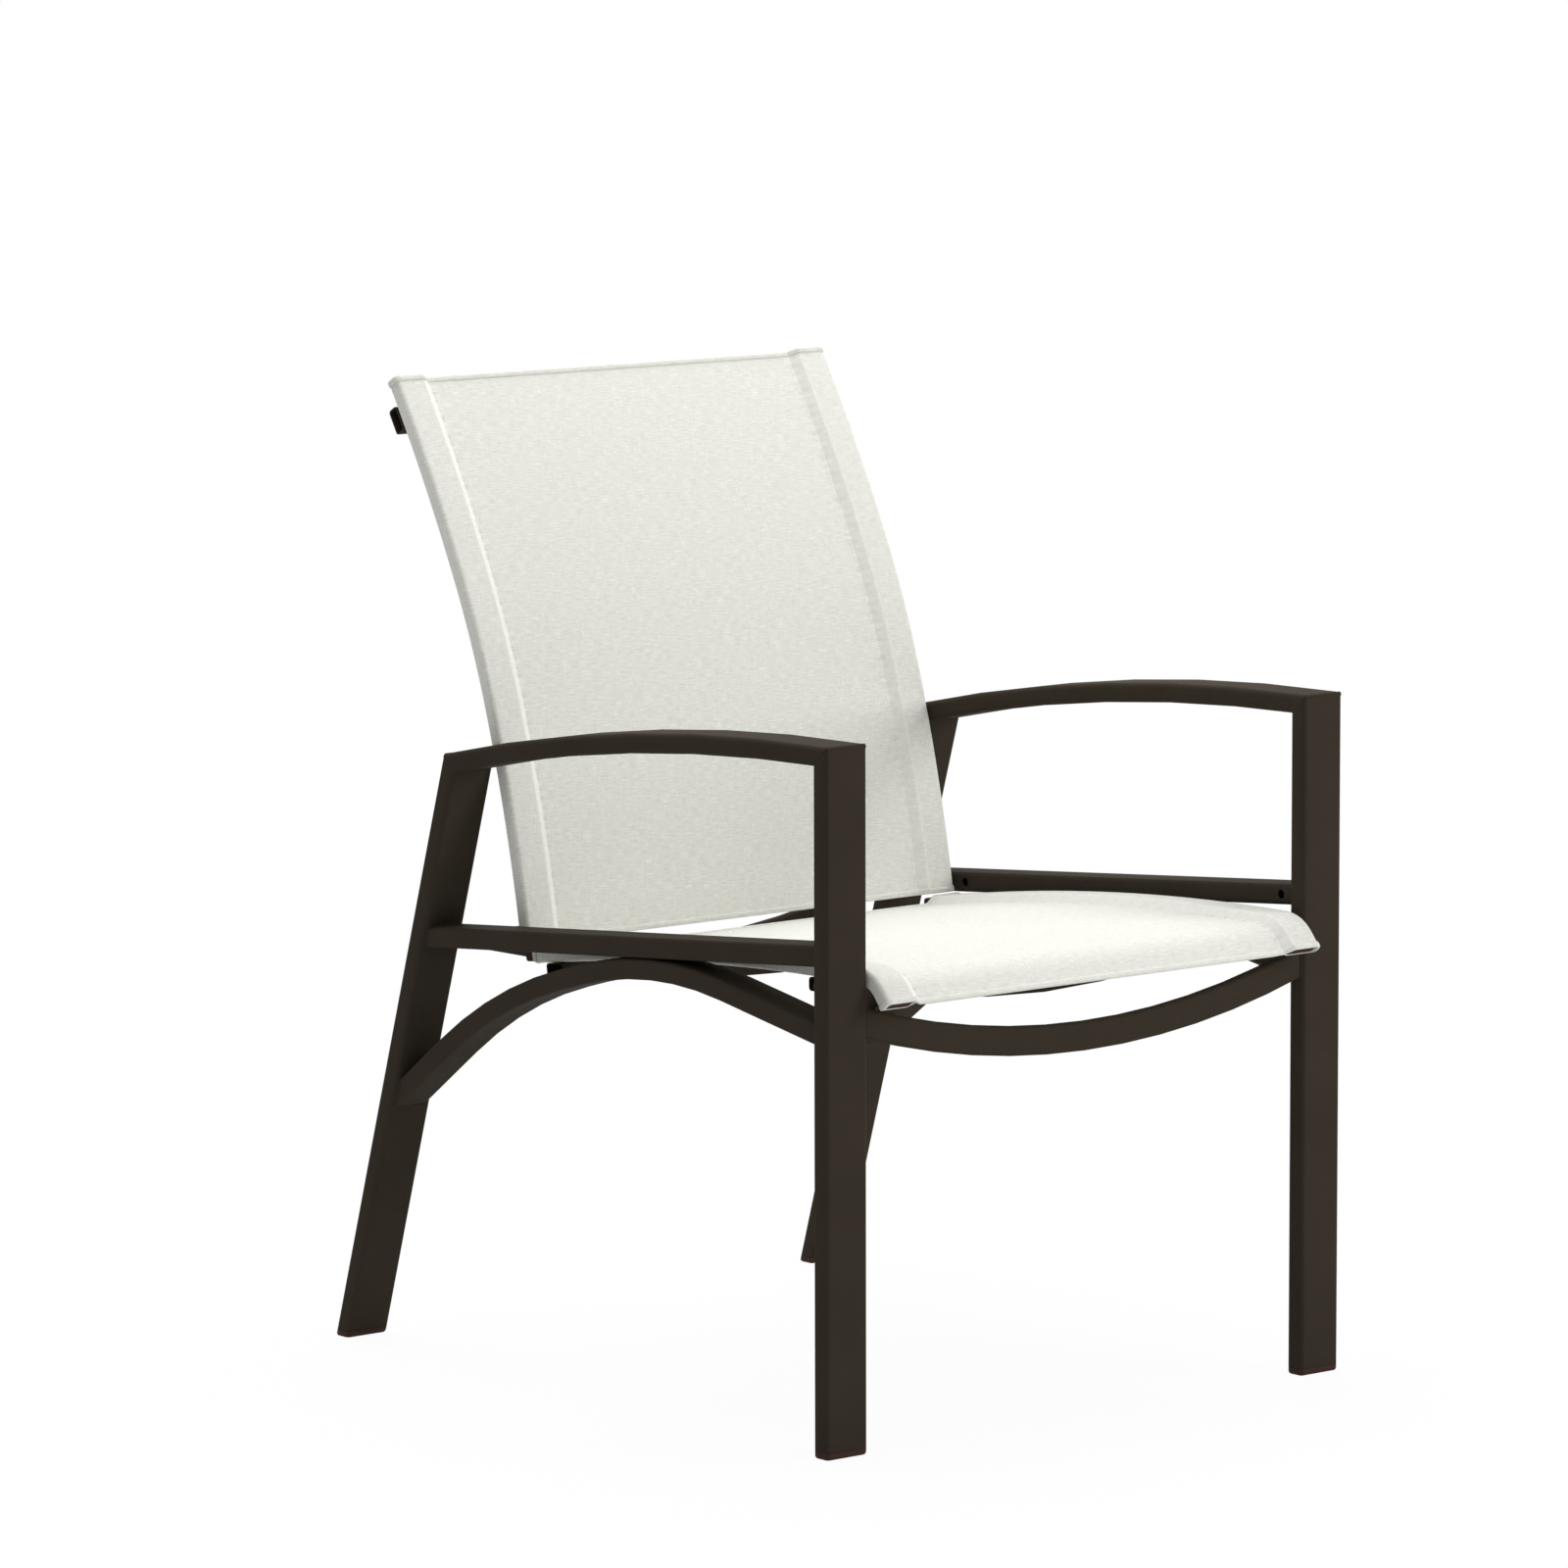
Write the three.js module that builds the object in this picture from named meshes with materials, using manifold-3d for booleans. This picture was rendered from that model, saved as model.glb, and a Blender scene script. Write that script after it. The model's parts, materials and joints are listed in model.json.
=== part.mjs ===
// Sling patio armchair: two welded side frames joined by two bowed stretchers, with a seat and a back
// of stretched fabric whose sewn sleeves are slipped over flat tubes.
// Millimetres, +Z up, the front of the chair towards -Y, +X towards the sitter's left hand.
// While it is built, y = 0 is the front face of the front legs and z = 0 the floor.

import * as THREE from 'three';
import { mergeVertices } from 'three/addons/utils/BufferGeometryUtils.js';
import Module from 'manifold-3d';

const wasm = await Module();
wasm.setup();

const degrees = Math.PI / 180;

// Overall
const overallWidth = 620.6;         // over the outboard faces of the legs
const armTopHeight = 640.5;         // top of the arms at their front corners
const seam = 0.3;                   // gap left at a weld, and where a piece seats on another
const overrun = 5;                  // how far a drill passes the wall that it opens
const gapShare = 0.5;               // a mitre's two pieces share its gap evenly

// Legs and arms
const legWidth = 47.8;
const frontLegDepth = 20.5;
const rearLegDepth = 20.3;
const armDepth = 18.7;
const legWall = 1.6;
const legCorner = 5;
const mitreRounding = 4;            // of the outer corners, ground after welding
const armRadius = 2468;             // the arm is one arc, level at the front
const armReach = 543.1;             // front leg centre to rear leg centre, along the floor, at the arm
const rearFootReach = 719.2;        // front leg centre to rear leg centre at the floor

// Side rails and arch braces
const braceWidth = 38.1;
const sideRailDepth = 19.5;
const archDepth = 19.3;
const braceWall = 1.5;
const braceCorner = 4;
const sideRailHeight = 451.8;       // centreline where the rail leaves the front leg
const sideRailFall = 5.006 * degrees;
const railHole = 9;                 // round holes in the rail's inner face
const railHoleInset = 16.1;         // from the front leg's rear face to the front hole
const railHoleSpacing = 454.1;
const crownClearance = 0.8;         // from the brace's crown to the side rail, straight up
const archRise = 9.7 * degrees;
const archLead = 139.2;             // straight length before the crown
const crownRadius = 472;
const crownTurn = 25.36 * degrees;
const archMiddle = 30.2;            // straight length between the two bends
const tailRadius = 556;
const tailTurn = 20.38 * degrees;
const archTail = 120;               // longer than needed: the rear leg cuts it

// Stretchers between the side frames
const stretcherDepth = 12.7;
const frontStretcherHeight = 27;
const rearStretcherHeight = 17;
const stretcherWall = 1.5;
const stretcherCorner = 4;
const frontStretcherEnd = 389.7;    // centreline height at the legs
const frontStretcherBow = 40;
const rearStretcherEnd = 400.3;
const rearStretcherBow = 42;

// Sling rails: flat tubes inside the sleeves
const slingRailWidth = 31.75;
const slingRailDepth = 12.7;
const slingRailWall = 1.5;
const slingRailCorner = 3;

// Sling fabric
const clothThickness = 1.3;
const sleeveEase = 0.15;            // between a rail and its sleeve
const sleeveToLeg = 2.2;            // between a sleeve's outboard edge and the leg
const sleeveSlope = 47 * degrees;   // of the two layers beside the rail, down to where they are sewn
const hemHeight = 5.5;
const hemProud = 1.2;
const hemStep = 0.5;                // length over which the hem drops to the sheet

// Seat line, from its crest at the front
const seatCrestReach = 18;          // crest behind the front face of the front legs
const seatCrestHeight = 430.4;      // rail centreline at the crest
const waterfallRadius = 36.5;
const waterfallTurn = 50 * degrees;
const waterfallTail = 16;
const seatRadius = 2903;
const seatTurn = 7.95 * degrees;
const seatTail = 71;                // straight length to the rear hem
const plugReach = 12.3;             // rear plugs stick out of the sleeves by this

// Back line, from its bottom hem
const backFootReach = 502.9;
const backFootHeight = 400.8;
const backFootLean = 9.54 * degrees;
const backRadii = [1568, 888, 1751];
const backTurns = [8.09 * degrees, 7.965 * degrees, 6.689 * degrees];
const backTail = 7;

// Cross bars, screwed to the rails outside the fabric
const barWidth = 25;
const barDepth = 12.7;
const barWall = 1.4;
const barCorner = 3;
const barInset = 0.7;               // bar ends inside the sleeves' outboard edges
const barFlat = 42;                 // flat length at each end
const frontBarBow = 26;
const barBow = 23;                  // of the other two bars
const barBend = 60;                 // radius of the small bends beside the flats
const frontBarReach = 56;           // behind the seat's crest, along the seat
const rearBarReach = 443;
const topBarReach = 520;            // above the back's bottom hem, along the back

// Tabs that carry the sling rails
const tabThickness = 4;
const tabReach = 30;                // how far a tab passes under a sleeve
const tabOverlap = 24;              // how far a tab lies behind its leg, where it is welded there
const frontTabDepth = 27;
const rearTabDepth = 30;
const rearTabReach = 324;           // behind the seat's crest, along the seat
const upperTabHeight = 14;
const upperTabRise = 4.8;           // above the arm's rear corner
const lowerTabHeight = 11.4;
const lowerTabReach = 12.2;         // above the back's bottom hem, along the back

// Screws and nuts
const screwRadius = 3;
const screwHoleRadius = 3.4;
const screwHeadRadius = 5.5;
const screwHeadHeight = 3;
const screwCrown = 0.8;             // edge height of the domed head
const screwPastNut = 0.6;
const nutRadius = 5.4;              // weld nuts on the rails' inner walls
const nutHeight = 4.5;
const nutBite = 0.2;                // how far a weld nut is sunk into the wall
const nutSides = 6;

// Plugs and glides
const plugEase = 0.35;              // between a plug's spigot and its tube
const plugSpigot = 14;
const plugHead = 2;
const plugRecess = 3;               // of the hidden plugs behind the fabric's edge
const spigotCornerShare = 1.5;      // a spigot's corners are rounder than its tube's hollow by this
const glideHeight = 6.5;
const glideRounding = 3.2;
const glideSpigot = 14;

// Facets
const bendSteps = 6;
const cornerSteps = 3;
const slopeSteps = 2;
const hollowCornerSteps = 1;
const drillSides = 10;

// Worked out from the sizes above
const legFace = overallWidth / 2 - legWidth;                  // inner face of the legs
const legCentre = legFace + legWidth / 2;
const braceFace = legCentre - braceWidth / 2;                 // inner face of the side rails and arches
const sleeveEdge = legFace - sleeveToLeg;                     // outboard edge of the sleeves
const sleeveWall = clothThickness + sleeveEase;
const slingRailCentre = sleeveEdge - sleeveWall - slingRailWidth / 2;
const sleeveHalf = slingRailDepth / 2 + sleeveWall;           // from a rail's centreline to the cloth's face
const seatOn = sleeveHalf + seam;                             // from that line to what seats on the cloth

const colours = { frame: '#342c25', plastic: '#403129', cloth: '#dedfd6', zinc: '#8d8a84' };
const looks = {
  frame: { color: colours.frame, roughness: 0.5, metalness: 0.35, flatShading: true },
  plastic: { color: colours.plastic, roughness: 0.55, metalness: 0, flatShading: true },
  cloth: { color: colours.cloth, roughness: 0.9, metalness: 0, flatShading: true },
  zinc: { color: colours.zinc, roughness: 0.35, metalness: 0.9, flatShading: true },
};

const chair = new THREE.Group();

function add(name, geometry, look) {
  const mesh = new THREE.Mesh(geometry, new THREE.MeshStandardMaterial(looks[look]));
  mesh.name = name;
  chair.add(mesh);
}

// Both hands of the chair: the sitter's left is +X.
const hands = [{ name: 'left', sign: 1 }, { name: 'right', sign: -1 }];

// Routes: a line in a plane, made of straights and arcs

function towards(heading, length) {
  return new THREE.Vector2(Math.cos(heading), Math.sin(heading)).multiplyScalar(length);
}

const quarter = Math.PI / 2;

// A station is a point with a heading, an angle from the plane's first axis to its second.
class Route {
  constructor(point, heading) {
    this.stations = [{ point, heading }];
  }

  get end() {
    return this.stations.at(-1);
  }

  line(length) {
    const { point, heading } = this.end;
    this.stations.push({ point: point.clone().add(towards(heading, length)), heading });
    return this;
  }

  // A positive turn goes anticlockwise.
  arc(radius, turn, steps = bendSteps) {
    const side = Math.sign(turn) * quarter;
    const from = this.end;
    const centre = from.point.clone().add(towards(from.heading + side, radius));
    for (let i = 1; i <= steps; i++) {
      const heading = from.heading + turn * i / steps;
      this.stations.push({ point: centre.clone().add(towards(heading - side, radius)), heading });
    }
    return this;
  }

  get lengths() {
    let sum = 0;
    return this.stations.map(({ point }, i) => {
      sum += i ? point.distanceTo(this.stations[i - 1].point) : 0;
      return sum;
    });
  }

  get length() {
    return this.lengths.at(-1);
  }

  // The station at a length along the route, turned evenly between its neighbours.
  at(length) {
    const lengths = this.lengths;
    const last = lengths.length - 2;
    const i = Math.min(Math.max(lengths.findIndex((l) => l > length) - 1, 0), last);
    const from = this.stations[length >= lengths[last] ? last : i];
    const to = this.stations[this.stations.indexOf(from) + 1];
    const start = lengths[this.stations.indexOf(from)];
    const share = (length - start) / from.point.distanceTo(to.point);
    return {
      point: from.point.clone().lerp(to.point, share),
      heading: from.heading + (to.heading - from.heading) * share,
    };
  }

  // The length at which the route first rises past a height.
  risingTo(height) {
    const i = this.stations.findIndex(({ point }) => point.y > height);
    const [from, to] = [this.stations[i - 1].point, this.stations[i].point];
    return this.lengths[i - 1] + from.distanceTo(to) * (height - from.y) / (to.y - from.y);
  }

  // The stretch from one length to another, with extra stations where they are asked for.
  between(from, to, extras = []) {
    const inner = this.lengths.filter((l) => l > from + hemStep && l < to - hemStep);
    const all = [from, ...inner, ...extras, to].sort((a, b) => a - b);
    const stretch = new Route(new THREE.Vector2(), 0);
    stretch.stations = all.map((l) => this.at(l));
    return stretch;
  }
}

function backwards(stations) {
  return stations.toReversed().map(({ point, heading }) => ({ point, heading: heading - Math.PI }));
}

// Sections: a closed outline in (across, off) coordinates, with its hollows

function roundedOutline(width, depth, corner, steps) {
  const points = [];
  const centres = [[1, -1, -quarter], [1, 1, 0], [-1, 1, quarter], [-1, -1, 2 * quarter]];
  for (const [right, up, start] of centres) {
    for (let i = 0; i <= steps; i++) {
      const swing = towards(start + quarter * i / steps, corner);
      points.push(new THREE.Vector2(right * (width / 2 - corner), up * (depth / 2 - corner)).add(swing));
    }
  }
  return points;
}

function barSection(width, depth, corner) {
  return { contour: roundedOutline(width, depth, corner, cornerSteps), hollows: [] };
}

function tubeSection(width, depth, corner, wall) {
  const hollow = roundedOutline(width - 2 * wall, depth - 2 * wall, corner - wall, hollowCornerSteps);
  return { contour: roundedOutline(width, depth, corner, cornerSteps), hollows: [hollow.reverse()] };
}

function spigotSection(width, depth, corner, wall) {
  const inside = 2 * (wall + plugEase);
  return barSection(width - inside, depth - inside, spigotCornerShare * (corner - wall));
}

// Solids: rings of points skinned along a route and capped at both ends

function volumeOf(geometry) {
  const position = geometry.getAttribute('position');
  const [a, b, c] = [new THREE.Vector3(), new THREE.Vector3(), new THREE.Vector3()];
  let sum = 0;
  for (let i = 0; i < geometry.index.count; i += 3) {
    const [ia, ib, ic] = [0, 1, 2].map((k) => geometry.index.getX(i + k));
    a.fromBufferAttribute(position, ia);
    b.fromBufferAttribute(position, ib);
    c.fromBufferAttribute(position, ic);
    sum += a.dot(b.cross(c));
  }
  return sum / 6;
}

function meshOf(points, faces) {
  const geometry = new THREE.BufferGeometry().setFromPoints(points);
  geometry.setIndex(faces);
  if (volumeOf(geometry) < 0) {
    geometry.setIndex(faces.toReversed());
  }
  return geometry;
}

// Every ring holds the points of the contour and then of the hollows.
function loft(rings, { contour, hollows }) {
  const faces = [];
  const size = rings[0].length;
  for (let r = 0; r + 1 < rings.length; r++) {
    let start = r * size;
    for (const loop of [contour, ...hollows]) {
      loop.forEach((_, i) => {
        const a = start + i;
        const b = start + (i + 1) % loop.length;
        faces.push(a, b, b + size, a, b + size, a + size);
      });
      start += loop.length;
    }
  }
  const top = (rings.length - 1) * size;
  for (const [a, b, c] of THREE.ShapeUtils.triangulateShape(contour, hollows)) {
    faces.push(c, b, a, top + a, top + b, top + c);
  }
  return meshOf(rings.flat(), faces);
}

// A cut is a line in the route's plane, given by a point and its normal.
function slide(point, heading, cut) {
  const way = towards(heading, 1);
  const run = cut.point.clone().sub(point).dot(cut.normal) / way.dot(cut.normal);
  return point.clone().addScaledVector(way, run);
}

// One ring of a section at a station, laid into space and cut along its heading.
function ring(section, station, lay, cut) {
  const off = towards(station.heading + quarter, 1);
  return [section.contour, ...section.hollows].flat().map(({ x, y }) => {
    const flat = station.point.clone().addScaledVector(off, y);
    const cutFlat = cut ? slide(flat, station.heading, cut) : flat;
    return lay(cutFlat, x);
  });
}

function sweep(route, section, lay, { start, end } = {}) {
  const last = route.stations.length - 1;
  const rings = route.stations.map((station, i) => {
    const cut = i === 0 ? start : i === last ? end : null;
    return ring(section, station, lay, cut);
  });
  return loft(rings, section);
}

// In a side plane the route's axes are Y and Z, and a section's width lies across the chair.
function sidePlane(sign, across) {
  return (flat, x) => new THREE.Vector3(sign * (across + x), flat.x, flat.y);
}

function offsetCut(point, heading, offset) {
  const normal = towards(heading + quarter, 1);
  return { point: point.clone().addScaledVector(normal, offset), normal };
}

// Booleans

function solidOf(geometry) {
  const triVerts = new Uint32Array(geometry.index.array);
  const vertProperties = new Float32Array(geometry.getAttribute('position').array);
  return new wasm.Manifold(new wasm.Mesh({ numProp: 3, vertProperties, triVerts }));
}

function geometryOf(solid) {
  const mesh = solid.getMesh();
  const result = new THREE.BufferGeometry();
  result.setAttribute('position', new THREE.BufferAttribute(mesh.vertProperties, mesh.numProp));
  result.setIndex(new THREE.BufferAttribute(mesh.triVerts, 1));
  return result;
}

function drilled(geometry, drills) {
  return geometryOf(drills.reduce((rest, drill) => rest.subtract(solidOf(drill)), solidOf(geometry)));
}

function joined(geometry, others) {
  return geometryOf(others.reduce((sum, other) => sum.add(solidOf(other)), solidOf(geometry)));
}

function welded(geometry) {
  geometry.deleteAttribute('normal');
  geometry.deleteAttribute('uv');
  return mergeVertices(geometry);
}

// Turns a shape made along +Y so that it points along a direction, and moves it to a place.
function aimed(geometry, place, direction) {
  const turn = new THREE.Quaternion().setFromUnitVectors(new THREE.Vector3(0, 1, 0), direction);
  return geometry.applyQuaternion(turn).translate(place.x, place.y, place.z);
}

function drill(radius, from, to) {
  const run = to.clone().sub(from);
  const rod = welded(new THREE.CylinderGeometry(radius, radius, run.length(), drillSides));
  const middle = from.clone().lerp(to, 1 / 2);
  return aimed(rod, middle, run.normalize());
}

// Side frames

const frontLegAxis = new THREE.Vector2(frontLegDepth / 2, 0);
const armCornerHeight = armTopHeight - armDepth / 2;
const armTurn = -Math.asin(armReach / armRadius);
const frontCorner = new THREE.Vector2(frontLegAxis.x, armCornerHeight);
const armRoute = new Route(frontCorner, 0).arc(armRadius, armTurn);
const rearCorner = armRoute.end.point;
const rearFoot = new THREE.Vector2(frontLegAxis.x + rearFootReach, 0);
const rearLegHeading = rearCorner.clone().sub(rearFoot).angle();
const rearLegFront = offsetCut(rearFoot, rearLegHeading, rearLegDepth / 2 + seam);
const frontLegRear = { point: new THREE.Vector2(frontLegDepth + seam, 0), normal: new THREE.Vector2(1, 0) };

function crossing(a, headingA, b, headingB) {
  return slide(a, headingA, { point: b, normal: towards(headingB + quarter, 1) });
}

// The mitre where a leg, rising, meets the arm: the line through the outer and inner corners.
// The side is 1 where the arm turns off clockwise and -1 where it turns off anticlockwise. The faces
// are the directions that the leg's and the arm's outer faces look in.
function mitre(corner, legHeading, legHalf, armHeading, side) {
  const legLine = (offset) => corner.clone().add(towards(legHeading + quarter, offset));
  const armLine = (offset) => corner.clone().add(towards(armHeading + quarter, offset));
  const armHalf = armDepth / 2;
  const outer = crossing(legLine(side * legHalf), legHeading, armLine(armHalf), armHeading);
  const inner = crossing(legLine(-side * legHalf), legHeading, armLine(-armHalf), armHeading);
  const faces = [legHeading + side * quarter, armHeading + quarter];
  return { point: outer, heading: inner.clone().sub(outer).angle(), faces };
}

const frontMitre = mitre(frontCorner, quarter, frontLegDepth / 2, 0, 1);
const rearMitre = mitre(rearCorner, rearLegHeading, rearLegDepth / 2, armRoute.end.heading, -1);

function halfGap({ point, heading }, side) {
  return offsetCut(point, heading, side * seam * gapShare);
}

// What the rounding of a mitre's outer corner takes away: a prism across the tubes.
function roundingTool({ point, faces }, sign) {
  const [legOut, armOut] = faces.map((face) => towards(face, 1));
  const both = legOut.clone().add(armOut);
  const centre = point.clone().addScaledVector(both, -mitreRounding / (1 + legOut.dot(armOut)));
  const turn = faces[1] - faces[0];
  const outline = [point.clone().addScaledVector(both, overrun)];
  outline.push(centre.clone().addScaledVector(legOut, mitreRounding + overrun));
  for (let i = 0; i <= cornerSteps; i++) {
    outline.push(centre.clone().add(towards(faces[0] + turn * i / cornerSteps, mitreRounding)));
  }
  outline.push(centre.clone().addScaledVector(armOut, mitreRounding + overrun));
  const contour = turn < 0 ? outline : outline.reverse();
  const lay = sidePlane(sign, legCentre);
  const half = legWidth / 2 + overrun;
  const rings = [-half, half].map((across) => contour.map((flat) => lay(flat, across)));
  return loft(rings, { contour, hollows: [] });
}

const floorCut = (height) => ({ point: new THREE.Vector2(0, height), normal: new THREE.Vector2(0, 1) });

const frontLegSection = tubeSection(legWidth, frontLegDepth, legCorner, legWall);
const rearLegSection = tubeSection(legWidth, rearLegDepth, legCorner, legWall);
const armSection = tubeSection(legWidth, armDepth, legCorner, legWall);

// The side tells which of the mitre's two pieces the leg is.
function leg(section, foot, heading, top, mitred, side, sign) {
  const route = new Route(foot, heading).line(top.distanceTo(foot));
  const cuts = { start: floorCut(glideHeight + seam), end: halfGap(mitred, side) };
  const blank = sweep(route, section, sidePlane(sign, legCentre), cuts);
  return drilled(blank, [roundingTool(mitred, sign)]);
}

function frontLeg(sign) {
  return leg(frontLegSection, frontLegAxis, quarter, frontCorner, frontMitre, -1, sign);
}

function rearLeg(sign) {
  return leg(rearLegSection, rearFoot, rearLegHeading, rearCorner, rearMitre, 1, sign);
}

function arm(sign) {
  const cuts = { start: halfGap(frontMitre, 1), end: halfGap(rearMitre, -1) };
  const blank = sweep(armRoute, armSection, sidePlane(sign, legCentre), cuts);
  return drilled(blank, [roundingTool(frontMitre, sign), roundingTool(rearMitre, sign)]);
}

// A moulded foot: a rounded base under the tube, and a spigot inside it.
function glide(width, depth, foot, heading, sign) {
  const lay = sidePlane(sign, legCentre);
  const full = barSection(width, depth, legCorner);
  const spigot = spigotSection(width, depth, legCorner, legWall);
  const station = { point: foot, heading };
  const layers = [];
  for (let i = 0; i <= cornerSteps; i++) {
    const swing = towards(quarter * i / cornerSteps, glideRounding);
    const inset = glideRounding - swing.y;
    const section = barSection(width - 2 * inset, depth - 2 * inset, legCorner - inset);
    layers.push([section, glideRounding - swing.x]);
  }
  layers.push([full, glideHeight], [spigot, glideHeight], [spigot, glideHeight + glideSpigot]);
  return loft(layers.map(([section, height]) => ring(section, station, lay, floorCut(height))), full);
}

const sideRailRoute = new Route(new THREE.Vector2(frontLegDepth, sideRailHeight), -sideRailFall)
  .line(rearFootReach);

// The two holes open only the rail's inner wall.
function sideRail(sign) {
  const section = tubeSection(braceWidth, sideRailDepth, braceCorner, braceWall);
  const lay = sidePlane(sign, legCentre);
  const bar = sweep(sideRailRoute, section, lay, { start: frontLegRear, end: rearLegFront });
  const holes = [railHoleInset, railHoleInset + railHoleSpacing].map((length) => {
    const { point } = sideRailRoute.at(length);
    const inner = -braceWidth / 2;
    return drill(railHole / 2, lay(point, inner - overrun), lay(point, inner + overrun));
  });
  return drilled(bar, holes);
}

function archFrom(height) {
  return new Route(new THREE.Vector2(frontLegDepth, height), archRise)
    .line(archLead)
    .arc(crownRadius, -crownTurn)
    .line(archMiddle)
    .arc(tailRadius, -tailTurn, bendSteps - 1)
    .line(archTail);
}

// The brace's height follows from its crown, which just clears the side rail.
const underRail = offsetCut(sideRailRoute.end.point, -sideRailFall, -(sideRailDepth + archDepth) / 2);
const rooms = archFrom(0).stations.map(({ point }) => slide(point, quarter, underRail).y - point.y);
const archRoute = archFrom(Math.min(...rooms) - crownClearance);

function archBrace(sign) {
  const section = tubeSection(braceWidth, archDepth, braceCorner, braceWall);
  const cuts = { start: frontLegRear, end: rearLegFront };
  return sweep(archRoute, section, sidePlane(sign, legCentre), cuts);
}

for (const { name, sign } of hands) {
  add(`front_leg_${name}`, frontLeg(sign), 'frame');
  add(`rear_leg_${name}`, rearLeg(sign), 'frame');
  add(`arm_${name}`, arm(sign), 'frame');
  add(`side_rail_${name}`, sideRail(sign), 'frame');
  add(`arch_brace_${name}`, archBrace(sign), 'frame');
  add(`front_glide_${name}`, glide(legWidth, frontLegDepth, frontLegAxis, quarter, sign), 'plastic');
  add(`rear_glide_${name}`, glide(legWidth, rearLegDepth, rearFoot, rearLegHeading, sign), 'plastic');
}

// Stretchers: arcs that hang between the legs' inner faces

function stretcher(endHeight, bow, height, place) {
  const half = legFace - seam;
  const radius = (half * half + bow * bow) / (2 * bow);
  const swing = Math.asin(half / radius);
  const route = new Route(new THREE.Vector2(-half, endHeight), -swing).arc(radius, 2 * swing, 2 * bendSteps);
  const section = tubeSection(stretcherDepth, height, stretcherCorner, stretcherWall);
  const lay = (flat, x) => new THREE.Vector3(flat.x, place + x, flat.y);
  const wallCut = (x) => ({ point: new THREE.Vector2(x, 0), normal: new THREE.Vector2(1, 0) });
  return sweep(route, section, lay, { start: wallCut(-half), end: wallCut(half) });
}

const rearStretcherPlace = slide(rearFoot, rearLegHeading, floorCut(rearStretcherEnd)).x;
const frontStretcher = stretcher(frontStretcherEnd, frontStretcherBow, frontStretcherHeight, frontLegAxis.x);
const rearStretcher = stretcher(rearStretcherEnd, rearStretcherBow, rearStretcherHeight, rearStretcherPlace);
add('front_stretcher', frontStretcher, 'frame');
add('rear_stretcher', rearStretcher, 'frame');

// Sling lines, each from its first hem to its last

const crest = new THREE.Vector2(seatCrestReach, seatCrestHeight);
const waterfall = new Route(crest, Math.PI).arc(waterfallRadius, waterfallTurn).line(waterfallTail);
const seatRun = new Route(crest, 0).arc(seatRadius, -seatTurn).line(seatTail);
const seatRoute = new Route(crest, 0);
seatRoute.stations = [...backwards(waterfall.stations), ...seatRun.stations.slice(1)];
const crestLength = waterfall.length;
const backFoot = new THREE.Vector2(backFootReach, backFootHeight);
const backRoute = new Route(backFoot, quarter - backFootLean);
backRadii.forEach((radius, i) => backRoute.arc(radius, -backTurns[i], bendSteps - 2));
backRoute.line(backTail);

// Away from the sitter is the clockwise side of both routes: under the seat and behind the back.
const away = -1;

// The place of a fixing on a rail: the centreline point, and the way out through the cloth.
function fixing(route, length, sign) {
  const station = route.at(length);
  const lay = sidePlane(sign, slingRailCentre);
  const centre = lay(station.point, 0);
  const out = lay(station.point.clone().add(towards(station.heading + away * quarter, 1)), 0).sub(centre);
  return { centre, out, along: lay(station.point.clone().add(towards(station.heading, 1)), 0).sub(centre) };
}

function outFrom({ centre, out }, distance) {
  return centre.clone().addScaledVector(out, distance);
}

const frontTabReach = crestLength + frontLegDepth + 2 * seam + frontTabDepth / 2 - seatCrestReach;
const seatFixings = {
  bars: [crestLength + frontBarReach, crestLength + rearBarReach],
  tabs: [frontTabReach, crestLength + rearTabReach],
};
const upperTabReach = backRoute.risingTo(rearCorner.y + upperTabRise);
const backFixings = { bars: [topBarReach], tabs: [lowerTabReach, upperTabReach] };

function placesOf(route, fixings, sign) {
  return [...fixings.bars, ...fixings.tabs].map((length) => fixing(route, length, sign));
}

function drillsFor(route, fixings, sign, from, to) {
  return placesOf(route, fixings, sign).map((place) => (
    drill(screwHoleRadius, outFrom(place, from), outFrom(place, to))
  ));
}

// Rails inside the sleeves, with a weld nut and a hole wherever a bar or a tab is screwed on

const nutTop = slingRailDepth / 2 - slingRailWall + nutBite;
const nutBottom = nutTop - nutHeight;

function weldNut(place) {
  const block = welded(new THREE.CylinderGeometry(nutRadius, nutRadius, nutHeight, nutSides));
  return aimed(block, outFrom(place, (nutTop + nutBottom) / 2), place.out);
}

function slingRail(route, fixings, from, to, sign) {
  const section = tubeSection(slingRailWidth, slingRailDepth, slingRailCorner, slingRailWall);
  const tube = sweep(route.between(from, to), section, sidePlane(sign, slingRailCentre));
  const nuts = placesOf(route, fixings, sign).map(weldNut);
  return drilled(joined(tube, nuts), drillsFor(route, fixings, sign, 0, slingRailDepth));
}

// A plug's head covers the tube's end, and its spigot goes into the tube.
function plug(route, from, to, spigotEnd, width, depth, wall, lay) {
  const head = barSection(width, depth, slingRailCorner);
  const spigot = spigotSection(width, depth, slingRailCorner, wall);
  const layers = [[head, from], [head, to], [spigot, to], [spigot, spigotEnd]];
  return loft(layers.map(([section, length]) => ring(section, route.at(length), lay)), head);
}

function railPlug(route, from, to, spigotEnd, sign) {
  const lay = sidePlane(sign, slingRailCentre);
  return plug(route, from, to, spigotEnd, slingRailWidth, slingRailDepth, slingRailWall, lay);
}

// The back rails' lower ends stay open, so that they drain.
const hidden = plugRecess + plugHead + seam;
const seatEnd = seatRoute.length;
const backEnd = backRoute.length;

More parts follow.
